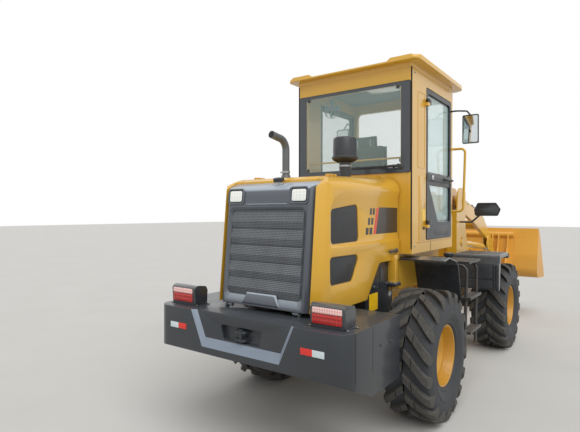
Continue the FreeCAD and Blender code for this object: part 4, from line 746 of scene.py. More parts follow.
def hoodForm(inset, sideInset):
    look = hoodSize
    half, low, rear, ahead = look["half"] - sideInset, look["low"] - inset, look["rear"] + inset, look["front"] + 60
    sections, plan = [], []
    for x in (look["rear"] - 60, look["front"] + inset):
        high, crown = topAt(x) - inset, look["crown"] - inset
        sections.append((x, [(half, low), (half, high, crown), (-half, high, crown), (-half, low)]))
    for z, shift in ((low - 10, 0), (look["top"] + 20, (look["top"] + 30 - low) * panelLean)):
        end, wide, corner = rear + shift, look["grilleHalf"] - inset, look["corner"]
        plan.append((z, [(ahead - 20, -half), (ahead - 20, half), (end + 95, half, corner),
                         (end, wide, 12), (end, -wide, 12), (end + 95, -half, corner)]))
    cap, capAt = look["cap"] - inset, rear + look["capAt"]
    slope = [(rear - 80, low - 20), (ahead, low - 20), (ahead, look["top"] + 140), (capAt + 400, cap + 220),
             (capAt, cap, 60), (rear - 80, cap - 330)]
    return combine(solid(addLoft, "yz", sections), ("INTERSECT", solid(addLoft, "xy", plan)),
                   ("INTERSECT", solid(addPrism, "xz", slope, -520, 520)))


def makeHood():
    look = hoodSize
    shell = combine(hoodForm(0, 0), ("DIFFERENCE", hoodForm(look["sheet"], look["sideSheet"])))
    end, shoulder, ledge, inner = look["front"] + 30, look["shoulder"], look["ledge"], look["spine"]
    # the sunken field, from its rim to its floor, and the two mesh windows and the wheel's cut-out
    field = [(look["half"] + 3, [(end, ledge - 17), (end, shoulder), (-790, shoulder - 28, 260),
                                 (-1048, shoulder - 135, 140), (-1048, ledge - 17, 20)]),
             (look["half"] - look["field"], [(end, ledge), (end, shoulder - 76), (-790, shoulder - 92, 260),
                                             (-1024, shoulder - 168, 100), (-1024, ledge, 12)])]
    wheelCut = [(-480, 960), (207, 960), (207, 1262), (-255, 1262, 60), (-480, 990, 60)]
    upper = [(-1006, 1694, 35), (-1006, 1448, 35), (-592, 1452, 35), (-613, 1740, 45)]
    lower = [(-1034, 1365, 30), (-1034, 1164, 30), (-720, 1163, 40), (-598, 1361, 40)]
    side = bevelled(combine(
        shell.copy(), ("INTERSECT", solid(addPrism, "yz", frameOf(inner, 540, 950, 2025), -1220, 217)),
        ("DIFFERENCE", solid(addBlock, (-1280, -418, 930), (-979, 418, 2045))),
        ("DIFFERENCE", solid(addPrism, "xz", wheelCut, -530, 530)), ("DIFFERENCE", solid(addLoft, "xz", field)),
        ("DIFFERENCE", solid(addPrism, "xz", upper, 477, 520)),
        ("DIFFERENCE", solid(addPrism, "xz", lower, 488, 520))), 2.5)
    half = inner - look["split"]
    spine = combine(shell, ("INTERSECT", solid(addBlock, (-979, -half, 1812), (217, half, 2025))))

    def ears(bm):
        # hinge ears with their pins, on the left of the spine
        for x in look["earsAt"]:
            high = topAt(x)
            for rear, front in ((x - 40, x - 20.3), (x + 20.3, x + 40)):
                addPrism(bm, "yz", [(319, high - 5), (371, high + 2), (371, high + 18, 8), (319, high + 18, 8)],
                         rear, front)
            addTube(bm, [(x - 42, inner, high + 12), (x + 42, inner, high + 12)], 4.6, 12)

    def hoop(bm):
        # the square hoop that carries the spine from the frame
        rear, front = look["hoopAt"]
        for sign in (1, -1):
            for (left, right), low, high in ((span(sign, 390, 450), 1250.3, 1720),
                                             (span(sign, 200, 250), 1700, topAt(rear) - 8)):
                addBlock(bm, (rear, left, low), (front, right, high), 3)
        addBlock(bm, (rear, -450, 1660), (front, 450, 1720), 3)

    ear = meshFrom(ears)
    spine = merged(bevelled(spine, 2.0), ear, flipped(ear), meshFrom(hoop))
    for name, form, node, body in (("hood_left", side.copy(), "hood_side_left", "hood_side_left"),
                                   ("hood_right", flipped(side), "hood_side_right", "hood_side_right"),
                                   ("hood_crown", spine, "hood_spine", "rear")):
        makePiece(name, body, paint["yellow"], "yellow_paint", form, node=node)


# The grille is drawn upright from its foot and leaned with the hood's rear
grilleSize = {"mouthHalf": 340, "mouthLow": 70, "mouthHigh": 706, "foot": (-1184, 0, 990), "louvres": 5,
              "lampAt": (208, 374), "hingeAt": (280, 330), "latchAt": (0.084, -0.05, 0.9035), "latchTurn": -27.5}
grilleFrame = machine @ Matrix.Translation(Vector(grilleSize["foot"]) * mm) @ Matrix.Rotation(
    math.radians(hoodSize["lean"]), 4, "Y")


def surroundForm(inset):
    half, side = hoodSize["grilleHalf"] - inset, hoodSize["grilleHalf"] - inset - 38
    plan = [(255, -half), (255, half), (inset + 50, half), (inset, side, 20), (inset, -side, 20), (inset + 50, -half)]
    profile = [(inset, -inset), (125 + inset, -inset), (125 + inset, 925 - inset), (inset, 860 - inset, 30)]
    return combine(solid(addPrism, "xy", plan, -inset, 1100),
                   ("INTERSECT", solid(addPrism, "xz", profile, -440, 440)))


def makeGrille():
    sheet, half, low, high, count = (hoodSize["sheet"], *(
        grilleSize[key] for key in ("mouthHalf", "mouthLow", "mouthHigh", "louvres")))
    left, right = grilleSize["lampAt"]
    surround = combine(surroundForm(0), ("DIFFERENCE", surroundForm(sheet)))
    funnel = [(-2, frameOf(-half - 24, half + 24, low - 46, high + 22, 48)),
              (sheet - 6, frameOf(-half, half, low, high, 30))]
    brow = [(y, [(3, 738), (3, 752), (-6, 745)]) for y in (-190, 190)]
    lampFrame = solid(addPrism, "yz", frameOf(left, right, 746, 868, 26), -9, sheet - 4)
    socket = solid(addPrism, "yz", frameOf(left + 18, right - 12, 758, 857, 18), -20, 4)
    surround = combine(
        surround, ("UNION", lampFrame), ("UNION", flipped(lampFrame)), ("UNION", solid(addLoft, "xz", brow)),
        ("DIFFERENCE", solid(addLoft, "yz", funnel)),
        ("DIFFERENCE", solid(addPrism, "yz", frameOf(-half, half, low, high, 30), sheet - 8, sheet + 12)),
        ("DIFFERENCE", socket), ("DIFFERENCE", flipped(socket)))
    boss = solid(addLoft, "yz", [(5, [(-176, 6), (176, 6), (136, 98), (-136, 98)]),
                                 (-8, [(-166, 22), (166, 22), (124, 88), (-124, 88)])])

    def hinges(bm):
        for sign in (1, -1):
            inner, outer = span(sign, *grilleSize["hingeAt"])
            addTube(bm, [(19.5, inner, -15.2), (19.5, outer, -15.2)], 10.5, 16)
            addBlock(bm, (11, inner, -15), (28, outer, 4), 1)

    surround = merged(bevelled(surround, 3.0), bevelled(boss, 3.0), meshFrom(hinges))
    makePiece("grille_frame", "grille", paint["slate"], "grille_paint", surround, grilleFrame, node="grille_surround")

    @piece("grille_mesh", "grille", screen["woven"], "grille_paint", at=grilleFrame, sharp=20, node="grille_louvres")
    def louvres(bm):
        back, pitch = sheet + 0.3, (high - low - 20) / count
        for step in range(count):
            foot = low + 10 + pitch * step
            head = foot + pitch - 8
            addPrism(bm, "xz", [(back - 6, foot), (back + 2, foot), (back + 2, head), (back - 9, head),
                                (back - 22, foot + 46)], -half + 9, half - 9, 1.5)
        addPrism(bm, "yz", frameOf(-half - 4, half + 4, low - 14, high + 14, 30), back, back + 5)

    @piece("work_lamp_bodies", "grille", plastic["softGrip"], "lamp_plastic", at=grilleFrame, node="rear_work_lamps")
    def lamps(bm):
        for sign in (1, -1):
            addPrism(bm, "yz", frameOf(*span(sign, 230, 358), 762, 853, 16), -7, 3.7, 2)


roofSize = {"rear": 93, "front": 1491, "half": 691, "low": 3003.5, "top": 3045, "wallTop": 2962, "rise": 400,
            "sunk": 26, "edge": 28}


def makeRoof():
    look = roofSize
    half, top, rise, floor = look["half"], look["top"], look["rise"], look["top"] - look["sunk"]
    outline = [(look["rear"], -half, 60), (look["front"], -half, 110), (look["front"], half, 110),
               (look["rear"], half, 60)]

    def leaf(bm):
        addPrism(bm, "xy", outline, look["low"], top, 0, 0, 8)
        rims = [e for e in bm.edges if min(v.co.z for v in e.verts) > top - 1]
        bmesh.ops.bevel(bm, geom=rims, offset=look["edge"], segments=5, affect="EDGES", profile=0.5)

    groove = [(-rise - 45, top + 10), (-rise, floor, 20), (rise, floor, 20), (rise + 45, top + 10)]
    roof = combine(
        meshFrom(leaf), ("UNION", solid(addBlock, (177, -607, look["wallTop"]), (1341, 607, 3008))),
        ("DIFFERENCE", solid(addBlock, (222, -562, 2950), (1296, 562, 2989))),
        ("DIFFERENCE", solid(addPrism, "yz", groove, 80, 1500)))
    makePiece("roof_shell", "rear", paint["cabYellow"], "yellow_paint", bevelled(roof, 1.5, 50), node="cab_roof")


makeHood()
makeGrille()
makeRoof()

# Exhaust and pre-cleaner stand on the sloped crown
exhaustSize = {"place": (-600, 200), "height": 352, "outlet": -798, "bore": 31, "bend": 92}
cleanerSize = {"place": (-300, -200), "top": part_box("precleaner")[1][2] / mm - 26, "vanes": 24}


@piece("exhaust_stack", "rear", [paint["stack"], soot, zinc], "ladder_paint", node="exhaust_pipe")
def exhaust(bm):
    (x, y), up, outlet = exhaustSize["place"], (0, 0, 1), exhaustSize["outlet"]
    base, top = topAt(-631) + 0.3, topAt(x) + exhaustSize["height"]
    path = pathPoints([(x, y, base + 4), (x, y, top - 26), (outlet, y, top + 4)], exhaustSize["bend"], 12)
    addTube(bm, path, exhaustSize["bore"], 28)
    addLathe(bm, (-1, 0, 0.15), (outlet + 1, y, top + 4), [(0, 26), (2.5, 26), (2.5, 0)], 24, 1)
    addLathe(bm, up, (x, y, base), [(0, 56), (8, 56), (12, 42), (40, 36), (40, 30)], 32)
    addLathe(bm, up, (x, y, base + 56), [(0, 30), (0, 35), (16, 35), (16, 30)], 28, 2)
    addPrism(bm, "xy", frameOf(x - 6, x + 6, y + 33, y + 56, 2), base + 58, base + 70, 1, 2)


@piece("precleaner_bowl", "rear", [plastic["black"], zinc], "black_plastic", node="precleaner")
def cleaner(bm):
    (x, y), high, foot, up = cleanerSize["place"], cleanerSize["top"], topAt(-254) + 0.3, (0, 0, 1)
    addLathe(bm, up, (x, y, 0), [
        (foot - 6, 0), (foot - 6, 60), (foot + 3, 58), (foot + 8, 47), (high - 214, 47), (high - 188, 100),
        (high - 180, 112), (high - 166, 112), (high - 162, 100), (high - 22, 99), (high - 6, 92), (high, 78),
        (high + 1, 0)], 56)
    addLathe(bm, up, (x, y, 0), [(high - 250, 46), (high - 250, 52), (high - 236, 52), (high - 236, 46)], 32, 1)
    addPrism(bm, "xy", frameOf(x - 6, x + 6, y - 68, y - 46, 2), high - 249, high - 237, 1, 1)
    for c, s in roundOf(cleanerSize["vanes"]):
        addTube(bm, [(x + 56 * c, y + 56 * s, high - 213), (x + 99 * c, y + 99 * s, high - 190)], 3, 5)


# Rear pane: its fired band, rubber edge and four fixing buttons; sizes of the glass in the cab's rear wall
paneSize = {"half": 590, "low": 2034, "high": 2842, "rear": 170.7, "thick": 6, "band": 84, "bandLow": 44,
            "bandHigh": 28}
paneHalf, paneLow, paneHigh, paneRear = (paneSize[key] for key in ("half", "low", "high", "rear"))
paneEdge = frameOf(-paneHalf, paneHalf, paneLow, paneHigh, 12)


@piece("rear_pane", "rear", glass, "clear_glass", node="rear_glass")
def rearPane(bm):
    addPrism(bm, "yz", paneEdge, paneRear, paneRear + paneSize["thick"], 0.5)


print("stage: hood, grille and roof")


# Grille: lamp lenses with their diodes, and the latch
@piece("work_lamp_lenses", "grille", lens["white"], "lamp_plastic", at=grilleFrame)
def lampLenses(bm):
    for side in (1, -1):
        addPrism(bm, "yz", frameOf(*span(side, 234, 354), 766, 849, 14), -10, -6.9, 1.2)
        for row in range(3):
            for column in range(4):
                addLathe(bm, (-1, 0, 0), (-9.5, side * (249 + column * 30), 781 + row * 26.5),
                         [(0, 11.5), (1.6, 10.5), (2.2, 8), (1.2, 5), (0.9, 0)], 14)


@piece("grille_latch", "grille", [plastic["black"], chrome], "black_plastic", at=(
    grilleFrame @ Matrix.Translation(grilleSize["latchAt"])
    @ Matrix.Rotation(math.radians(grilleSize["latchTurn"]), 4, "Y")))
def latch(bm):
    addBlock(bm, (-26, -36, 0), (26, 36, 5), 2, 1)
    addTube(bm, pathPoints([(-14, -22, 4), (-14, -22, 26), (-14, 22, 26), (-14, 22, 4)], 8), 5, 10, 1)
    addPrism(bm, "xz", [(-22, 22), (22, 18), (26, 48, 6), (-20, 54, 6)], -36, 36, 4)
    addLathe(bm, (0, 0, 1), (4, 0, 4), [(0, 13), (16, 13), (16, 0)], 20, 1)
    for y in (-30, 30):
        addBolt(bm, (0, 0, 1), (14, y, 5), 8, 1)


# Hood sides: perforated panels in the two openings, printed blocks, and the handle with its lock
hoodLook = {
    "upper": ((-1001, 1697, 33), (-1001, 1452, 33), (-597, 1456, 33), (-618, 1734, 42)),
    "lower": ((-1029, 1361, 28), (-1029, 1168, 28), (-723, 1167, 38), (-604, 1357, 38)),
    "film": (485.2, 485.7), "handle": 1342,
    # each row: foot, head, rear end of its first block and the length of its two blocks, which have this gap
    "rows": ((1655, 1708, -399, 36), (1575, 1630, -433, 40), (1498, 1553, -472, 50)), "gap": 16,
    "stripe": ((-344, 1498), (-300, 1498), (-238, 1710), (-282, 1710)),
    "panel": ((-296, 1498), (140, 1498), (140, 1716), (-232, 1716)),
}


def makeHoodTrim(side, sideName):
    body = f"hood_side_{sideName}"

    @piece(f"hood_mesh_{sideName}", body, screen["punched"], "mesh_metal")
    def windows(bm):
        addPrism(bm, "xz", hoodLook["upper"], *span(side, 477.2, 481), 1.0)
        addPrism(bm, "xz", hoodLook["lower"], *span(side, 488.2, 491), 1.0)

    @piece(f"hood_blocks_{sideName}", body, [film["black"], film["red"]], "yellow_paint")
    def blocks(bm):
        depth = span(side, *hoodLook["film"])
        for low, high, start, wide in hoodLook["rows"]:
            slant = (high - low) * 0.12
            for left in (start, start + wide + hoodLook["gap"]):
                addPrism(bm, "xz", [(left - slant, low), (left + wide - slant, low), (left + wide, high),
                                    (left, high)], *depth)
        addPrism(bm, "xz", hoodLook["stripe"], *depth, 0, 1)
        addPrism(bm, "xz", hoodLook["panel"], *depth)

    @piece(f"hood_handle_{sideName}", body, [plastic["black"], chrome], "black_plastic")
    def handle(bm):
        z, axis = hoodLook["handle"], (0, side, 0)
        addPrism(bm, "xz", frameOf(-70, 96, z - 16, z + 16, 8), *span(side, 489, 496), 2)
        addPrism(bm, "xz", [(-92, z - 9, 9), (60, z - 12, 9), (60, z + 12, 9), (-92, z + 9, 9)],
                 *span(side, 510, 526), 4)
        for x in (-58, 34):
            addPrism(bm, "xz", frameOf(x, x + 24, z - 8, z + 8, 4), *span(side, 494, 514), 2)
        addLathe(bm, axis, (78, side * 494, z), [(0, 19), (20, 19), (26, 15), (28, 0)], 20)
        addLathe(bm, axis, (78, side * 521, z), [(0, 9), (2, 9), (2, 0)], 16, 1)


for side, sideName in sides:
    makeHoodTrim(side, sideName)
print("stage: hood trim")

# Counterweight: the casting keeps the solid's outline; its sunken rear panel has ramps at the foot and both ends
weightSize = {"rear": -1420, "half": 848, "front": -669.3, "low": 513, "top": 957, "corner": 120, "hingeAt": -1166}


def makeWeight():
    rear, half, front, low, top, corner, hinge = weightSize.values()

    def ramp(bm):
        rings = [[bm.verts.new((x, y, z)) for y, z in ((-wide, foot), (wide, foot), (head, 975), (-head, 975))]
                 for x, foot, wide, head in ((rear - 12, 674, 352, 486), (rear + 30, 765, 342, 437))]
        addSkin(bm, rings)
        for ring in rings:
            bm.faces.new(ring)

    casting = [(front, -half), (front, half), (rear, half, corner), (rear, -half, corner)]
    underCut = [(rear - 20, low - 20), (rear + 371, low - 20), (rear - 20, 661.6)]
    pocket = [(-160, 775, 15), (160, 775, 15), (190, 880, 15), (-190, 880, 15)]
    bay = [(front + 5, -265), (front + 5, 265), (front - 330, 265, 40), (front - 330, -265, 40)]
    shape = bevelled(combine(
        solid(addPrism, "xy", casting, low, top, 0, 0, 10), ("DIFFERENCE", meshFrom(ramp)),
        ("DIFFERENCE", solid(addPrism, "xz", underCut, -900, 900)),
        ("DIFFERENCE", solid(addPrism, "yz", pocket, rear - 10, rear + 70)),
        ("DIFFERENCE", solid(addPrism, "xy", bay, low - 10, top + 10))), 3.0, 15)
    for face in shape.polygons:
        # painted highlight: the ramps are the casting's own paint, given a paler grey for the sky they catch
        across, up = abs(face.center.y), face.center.z
        inPanel = rear + 1 < face.center.x < rear + 29.5 and up > 670 and across < 490
        nearPocket = across < 192 and 772 < up < 883
        face.material_index = 1 if inPanel and not nearPocket and abs(face.normal.x) > 0.15 else 0
    makePiece("counterweight_casting", "rear", [paint["charcoal"], paint["slateSkyHighlight"]], "dark_paint", shape, sharp=20,
              node="counterweight")

    @piece("grille_brackets", "rear", paint["charcoal"], "dark_paint", node="counterweight")
    def brackets(bm):
        for side in (1, -1):
            addPrism(bm, "xz", [(hinge - 20, 952), (hinge + 20, 952), (hinge + 11, 983, 8), (hinge - 11, 983, 8)],
                     *span(side, 331, 345), 1)
            addTube(bm, [(hinge, side * 275, 973), (hinge, side * 347, 973)], 6.9, 14)


makeWeight()


@piece("weight_screws", "rear", paint["charcoal"], "dark_paint")
def weightScrews(bm):
    for side in (1, -1):
        for x, z in ((-978, 811), (-819, 802)):
            addBolt(bm, (0, side, 0), (x, side * (weightSize["half"] - 1), z), 17)


@piece("weight_joints", "rear", plastic["softGrip"], "dark_paint")
def weightJoints(bm):
    for side in (1, -1):
        for x, y in ((-1323, 845.6), (-1095, 848)):
            addPrism(bm, "xz", frameOf(x - 2.2, x + 2.2, 655, 955), *span(side, y - 2, y + 0.5))


@piece("rear_reflectors", "rear", [plastic["black"], film["reflectRed"], film["reflectWhite"]], "lamp_plastic")
def reflectors(bm):
    rear = weightSize["rear"]
    for side in (1, -1):
        for low, high, layer in ((516, 603, 1), (603, 690, 2)):
            addPrism(bm, "yz", frameOf(*span(side, low, high), 800, 842), rear - 0.9, rear + 0.5, 0.2, layer)
        addPrism(bm, "yz", frameOf(*span(side, 512, 694), 796, 846, 3), rear - 0.5, rear + 0.5, 0.2)


def makeTailLamp(side, sideName):
    @piece(f"tail_lamp_{sideName}", "rear", [plastic["glossBlack"], lens["red"], lens["frost"], zinc],
           "lamp_plastic", node="tail_lamps")
    def tailLamp(bm):
        inner, outer = span(side, 526, 780)
        addPrism(bm, "xy", [(-1322, inner + 10, 20), (-1186, inner - 4, 10), (-1186, outer + 4, 10),
                            (-1322, outer - 10, 20)], 957.2, 966, 2)
        addPrism(bm, "xz", [(-1326, 966), (-1192, 962), (-1192, 1084, 24), (-1218, 1098, 30), (-1290, 1108, 40),
                            (-1330, 1094, 16)], inner, outer, 11, 0, 5)
        addPrism(bm, "yz", frameOf(*span(side, 538, 768), 978, 1092, 12), -1332, -1324, 1.5)
        inner, outer = span(side, 546, 760)
        for low, high, foot, head, layer in ((984, 1046, 9, 4, 1), (1049, 1086, 4, 10, 2)):
            addPrism(bm, "yz", [(inner, low, foot), (outer, low, foot), (outer, high, head), (inner, high, head)],
                     -1336, -1330, 2, layer)
        for row in range(2):
            for column in range(8):
                addLathe(bm, (-1, 0, 0), (-1335.5, side * (566 + column * 25), 1001 + row * 28),
                         [(0, 9), (1.5, 8), (2.6, 4), (2.8, 0)], 10, 1)
        for x, at in ((-1312, 516), (-1200, 512), (-1312, 788), (-1200, 792)):
            addBlock(bm, (x - 12, side * at - 12, 957.2), (x + 12, side * at + 12, 962), 1.5)
            addBolt(bm, (0, 0, 1), (x, side * at, 962), 9, 3)


for side, sideName in sides:
    makeTailLamp(side, sideName)
print("stage: rear trim")


# Cab outside: glazing band and buttons, wiper, corner seals
@piece("rear_glass_band", "rear", [ceramic, plastic["softGrip"]], "clear_glass")
def glassBand(bm):
    inset, low, high = paneHalf - paneSize["band"], paneLow + paneSize["bandLow"], paneHigh - paneSize["bandHigh"]
    addRing(bm, "yz", paneEdge, frameOf(-inset, inset, low, high, 20), paneRear - 0.8, paneRear + 0.1)
    rubberEdge = frameOf(-paneHalf - 3, paneHalf + 3, paneLow - 3, paneHigh + 3, 14)
    addRing(bm, "yz", rubberEdge, paneEdge, paneRear - 2.1, 177, 1)


@piece("rear_glass_buttons", "rear", plastic["black"], "black_plastic")
def glassButtons(bm):
    for y, z in ((475, 2800), (-475, 2800), (482, 2096), (-482, 2096)):
        addLathe(bm, (-1, 0, 0), (paneRear - 0.9, y, z), [(0, 17), (3, 17), (6, 14), (7, 8), (5.5, 6), (5.5, 0)], 20)


@piece("rear_wiper", "rear", [plastic["black"], plastic["softGrip"]], "black_plastic")
def wiper(bm):
    addLathe(bm, (-1, 0, 0), (paneRear - 0.9, -505, 2084), [(0, 26), (4, 25), (7, 19), (8, 10), (9, 9), (9.2, 0)])
    arm = [(165, -505, 2084), (165, -490, 2092), (165.5, -380, 2098), (166, -120, 2096)]
    addTube(bm, pathPoints(arm, 5), 3.6, 8)
    addPrism(bm, "yz", frameOf(-470, -10, 2088, 2101, 3), 164, 168.4, 1.2)
    addPrism(bm, "yz", frameOf(-468, -12, 2080, 2089), 164, 169.2, 0, 1)
    for y in (-400, -240, -80):
        addPrism(bm, "yz", frameOf(y - 16, y + 16, 2086, 2103, 2), 161.2, 165, 0.8)


@piece("cab_corner_seals", "rear", plastic["softGrip"], "black_plastic")
def cornerSeals(bm):
    for side in (1, -1):
        addPrism(bm, "yz", frameOf(*span(side, 594.5, 607.6), 1348, 2960), 175.6, 178.5, 0.6)
        addPrism(bm, "xz", frameOf(654, 661, 1310, 1404), *span(side, 606.5, 608))


# Cab sides: pressed panels, filler and screws; on the door leaf the kick trim round the slanted lower pane,
# lock band, lock, pull, hinges and glass bands
doorSize = {"rear": 535, "front": 1292, "lockLow": 1982, "lockHigh": 2046, "pullAt": 2010, "hingesAt": (1560, 2700)}


def makeCabSide(side, sideName):
    rear, front, lockLow, lockHigh, pullAt, hingesAt = doorSize.values()
    axis, door = (0, side, 0), f"door_{sideName}"

    @piece(f"cab_panel_{sideName}", "rear", paint["cabYellow"], "yellow_paint")
    def panel(bm):
        addRing(bm, "xz", frameOf(314, 494, 2083, 2778, 16), frameOf(320, 488, 2089, 2772, 12),
                *span(side, 606.5, 609.5))
        addPrism(bm, "xz", frameOf(344, 500, 1418, 2010, 10), *span(side, 606.5, 611), 2.5)
        addPrism(bm, "xz", frameOf(300, 1325, 1404, 1414, 4), *span(side, 606.5, 613), 1.5)

    @piece(f"cab_fittings_{sideName}", "rear", [plastic["black"], zinc, film["yellow"]], "black_plastic")
    def fittings(bm):
        addLathe(bm, axis, (450, side * 610, 1531), [(0, 15), (9, 15), (15, 10), (17, 0)], 20)
        for z in (1372, 2920):
            addBolt(bm, axis, (236, side * 607, z), 14, 1)
        addPrism(bm, "xz", frameOf(424, 496, 1594, 1706, 3), *span(side, 611, 611.6), 0, 2)

    @piece(f"door_trim_{sideName}", door, plastic["greyTrim"], "black_plastic")
    def trim(bm):
        outer = [(rear + 4, 1420, 20), (front - 4, 1420, 20), (front - 4, 1984, 6), (rear + 6, 1984, 6)]
        inner = [(rear + 318, 1580, 60), (front - 40, 1580, 24), (front - 35, 1978, 4), (rear + 34, 1978, 4)]
        addRing(bm, "xz", outer, inner, *span(side, 606.8, 613), 0, 5)
        addPrism(bm, "xz", [(rear + 150, 1452, 30), (front - 60, 1452, 20), (front - 60, 1540, 20),
                            (rear + 270, 1540, 40)], *span(side, 612, 615), 1.2)
        addPrism(bm, "xz", frameOf(rear + 6, front - 6, lockLow, lockHigh, 6), *span(side, 606.8, 617), 3)

    @piece(f"door_lock_{sideName}", door, chrome, "black_plastic")
    def lock(bm):
        addPrism(bm, "xz", frameOf(660, 712, 1992, 2034, 5), *span(side, 616, 622), 2)
        addLathe(bm, axis, (686, side * 621, 2013), [(0, 14), (5, 14), (7, 11), (7, 4), (4, 4), (4, 0)])

    @piece(f"door_pull_{sideName}", door, [plastic["black"], zinc], "black_plastic")
    def pull(bm):
        ends = (1020, 1216)
        bar = [(x, side * y, pullAt) for x, y in ((ends[0], 614), (ends[0], 646), (ends[1], 652), (ends[1], 614))]
        addTube(bm, pathPoints(bar, 14), 11)
        for x in ends:
            addLathe(bm, axis, (x, side * 616, pullAt), [(0, 20), (5, 20), (8, 16), (8, 0)], 20)
        for z in hingesAt:
            addPrism(bm, "xz", frameOf(548, 606, z - 4, z + 44, 8), *span(side, 607, 634), 5)
            for at in (z + 8, z + 32):
                addBolt(bm, axis, (588, side * 633, at), 9, 1)
        for z in (1512, 1600, 1730, 1860):
            addLathe(bm, axis, (front - 12, side * 612, z), [(0, 5), (3, 5), (4, 0)], 12)

    @piece(f"door_glass_band_{sideName}", door, ceramic, "clear_glass")
    def glassEdges(bm):
        depth = span(side, 592, 593.2)
        addRing(bm, "xz", frameOf(rear + 45, front - 45, 2050, 2805, 30),
                frameOf(rear + 60, front - 60, 2065, 2790, 24), *depth)
        outer = [(rear + 330, 1590, 60), (front - 50, 1590, 30), (front - 45, 1970, 30), (rear + 50, 1970, 40)]
        inner = [(rear + 346, 1602, 54), (front - 62, 1602, 24), (front - 57, 1958, 24), (rear + 76, 1958, 32)]
        addRing(bm, "xz", outer, inner, *depth)


for side, sideName in sides:
    makeCabSide(side, sideName)
print("stage: cab outside")


# Cab inside: padded seat, wheel, levers, lining, mat, lamp panel, fan and the yellow cross bar
def addCushion(bm, length, width, thick, crown, channels, roll):
    # a crowned pad in its own frame: length along x, width along y, its back on z = 0; the sides pull in
    # between the corners and sewn channels run across it
    columns, rows, seamWide, seamDeep, pipingDeep = 28, 24, 7, 9, 8
    for face in (1, -1):
        grid = []
        for i in range(columns + 1):
            u = i / columns * 2 - 1
            line = []
            for j in range(rows + 1):
                v = j / rows * 2 - 1
                pull = 1 - 0.03 * (1 - u * u) if abs(v) > 0 else 1
                x = u * length / 2 * (1 - 0.02 * (1 - v * v))
                y = v * width / 2 * (1 - 0.035 * (1 - u * u) * pull)
                rise = max(0.0, (1 - abs(u) ** roll) * (1 - abs(v) ** roll)) ** 0.42
                z = thick / 2 + face * thick / 2 * rise
                if face > 0:
                    z += crown * (1 - u * u) * (1 - v * v)
                    for at in channels:
                        z -= seamDeep * math.exp(-((u - at) * length / 2 / seamWide) ** 2) * (1 - v ** 6)
                    z -= pipingDeep * math.exp(-((abs(v) - 0.62) * width / 2 / seamWide) ** 2) * (1 - u ** 6)
                    z += 12 * math.exp(-((abs(v) - 0.82) * width / 2 / 34) ** 2) * (1 - u ** 4)
                line.append(bm.verts.new((x, y, z)))
            grid.append(line)
        for before, line in zip(grid, grid[1:]):
            for j in range(rows):
                bm.faces.new((before[j], line[j], line[j + 1], before[j + 1]))


# Each cushion: name, place from the rear axle in metres, lean, the settings of addCushion, how firm its padding is
cushions = (
    ("seat_cushion", (0.745, 0, 1.742), -4, (440, 470, 78, 16, (-0.45, 0.0, 0.45), 10), 0.7),
    ("seat_back", (0.500, 0, 2.065), 82, (520, 440, 84, 18, (-0.5, -0.1, 0.3), 9), 0.7),
    ("seat_headrest", (0.455, 0, 2.372), 83, (120, 250, 60, 10, (), 8), 0.75),
)


def makeSeat():
    for name, place, lean, settings, fill in cushions:
        at = machine @ Matrix.Translation(place) @ Matrix.Rotation(math.radians(lean), 4, "Y")
        pad = makePiece(name, "rear", vinyl, "seat_vinyl", solid(addCushion, *settings), at, 60, "seat")

    @piece("seat_base", "rear", [plastic["black"], zinc], "seat_vinyl", node="seat")
    def base(bm):
        addPrism(bm, "xz", [(510, 1700), (930, 1700), (950, 1728, 10), (950, 1744), (500, 1744)], -212, 212, 5)
        addPrism(bm, "xz", [(520, 1346), (900, 1346), (880, 1700), (540, 1700)], -190, 190, 6)
        addPrism(bm, "xz", [(470, 1716, 20), (520, 1716, 20), (487, 2330, 20), (432, 2330, 20)], -200, 200, 12)
        for y in (-70, 70):
            addTube(bm, [(462, y, 2290), (448, y, 2400)], 7, 10, 1)
        for side in (1, -1):
            rest = [(500, side * 205, 1800), (500, side * 250, 1900), (820, side * 262, 1930)]
            addTube(bm, pathPoints(rest, 40), 17)


makeSeat()
wheelSize = {"radius": 188, "grip": 13, "spokes": (90, 210, 330), "place": (1.080, 0, 2.150),
             "axis": (-0.35, 0, 0.94)}


@piece("steering_wheel", "rear", plastic["softGrip"], "black_plastic", at=(
    machine @ Matrix.Translation(wheelSize["place"])
    @ Vector(wheelSize["axis"]).to_track_quat("Z", "Y").to_matrix().to_4x4()))
def steeringWheel(bm):
    radius, grip = wheelSize["radius"], wheelSize["grip"]
    rings = []
    for c, s in roundOf(40):
        out = Vector((c, s, 0))
        rings.append([bm.verts.new(out * radius + out * grip * a + Vector((0, 0, grip * b))) for a, b in roundOf(10)])
    addSkin(bm, rings + rings[:1])
    addLathe(bm, (0, 0, 1), (0, 0, -20), [(-60, 26), (-10, 30), (0, 46), (16, 46), (26, 34), (28, 0)], 28)
    for turn in wheelSize["spokes"]:
        c, s = math.cos(math.radians(turn)), math.sin(math.radians(turn))
        addTube(bm, [(40 * c, 40 * s, -10), (182 * c, 182 * s, 0)], 9, 8)
    addTube(bm, [(70, 150, 0), (74, 156, 46)], 5, 8)
    addLathe(bm, (0, 0, 1), (74, 156, 44), [(0, 9), (10, 16), (30, 17), (40, 12), (43, 0)], 18)


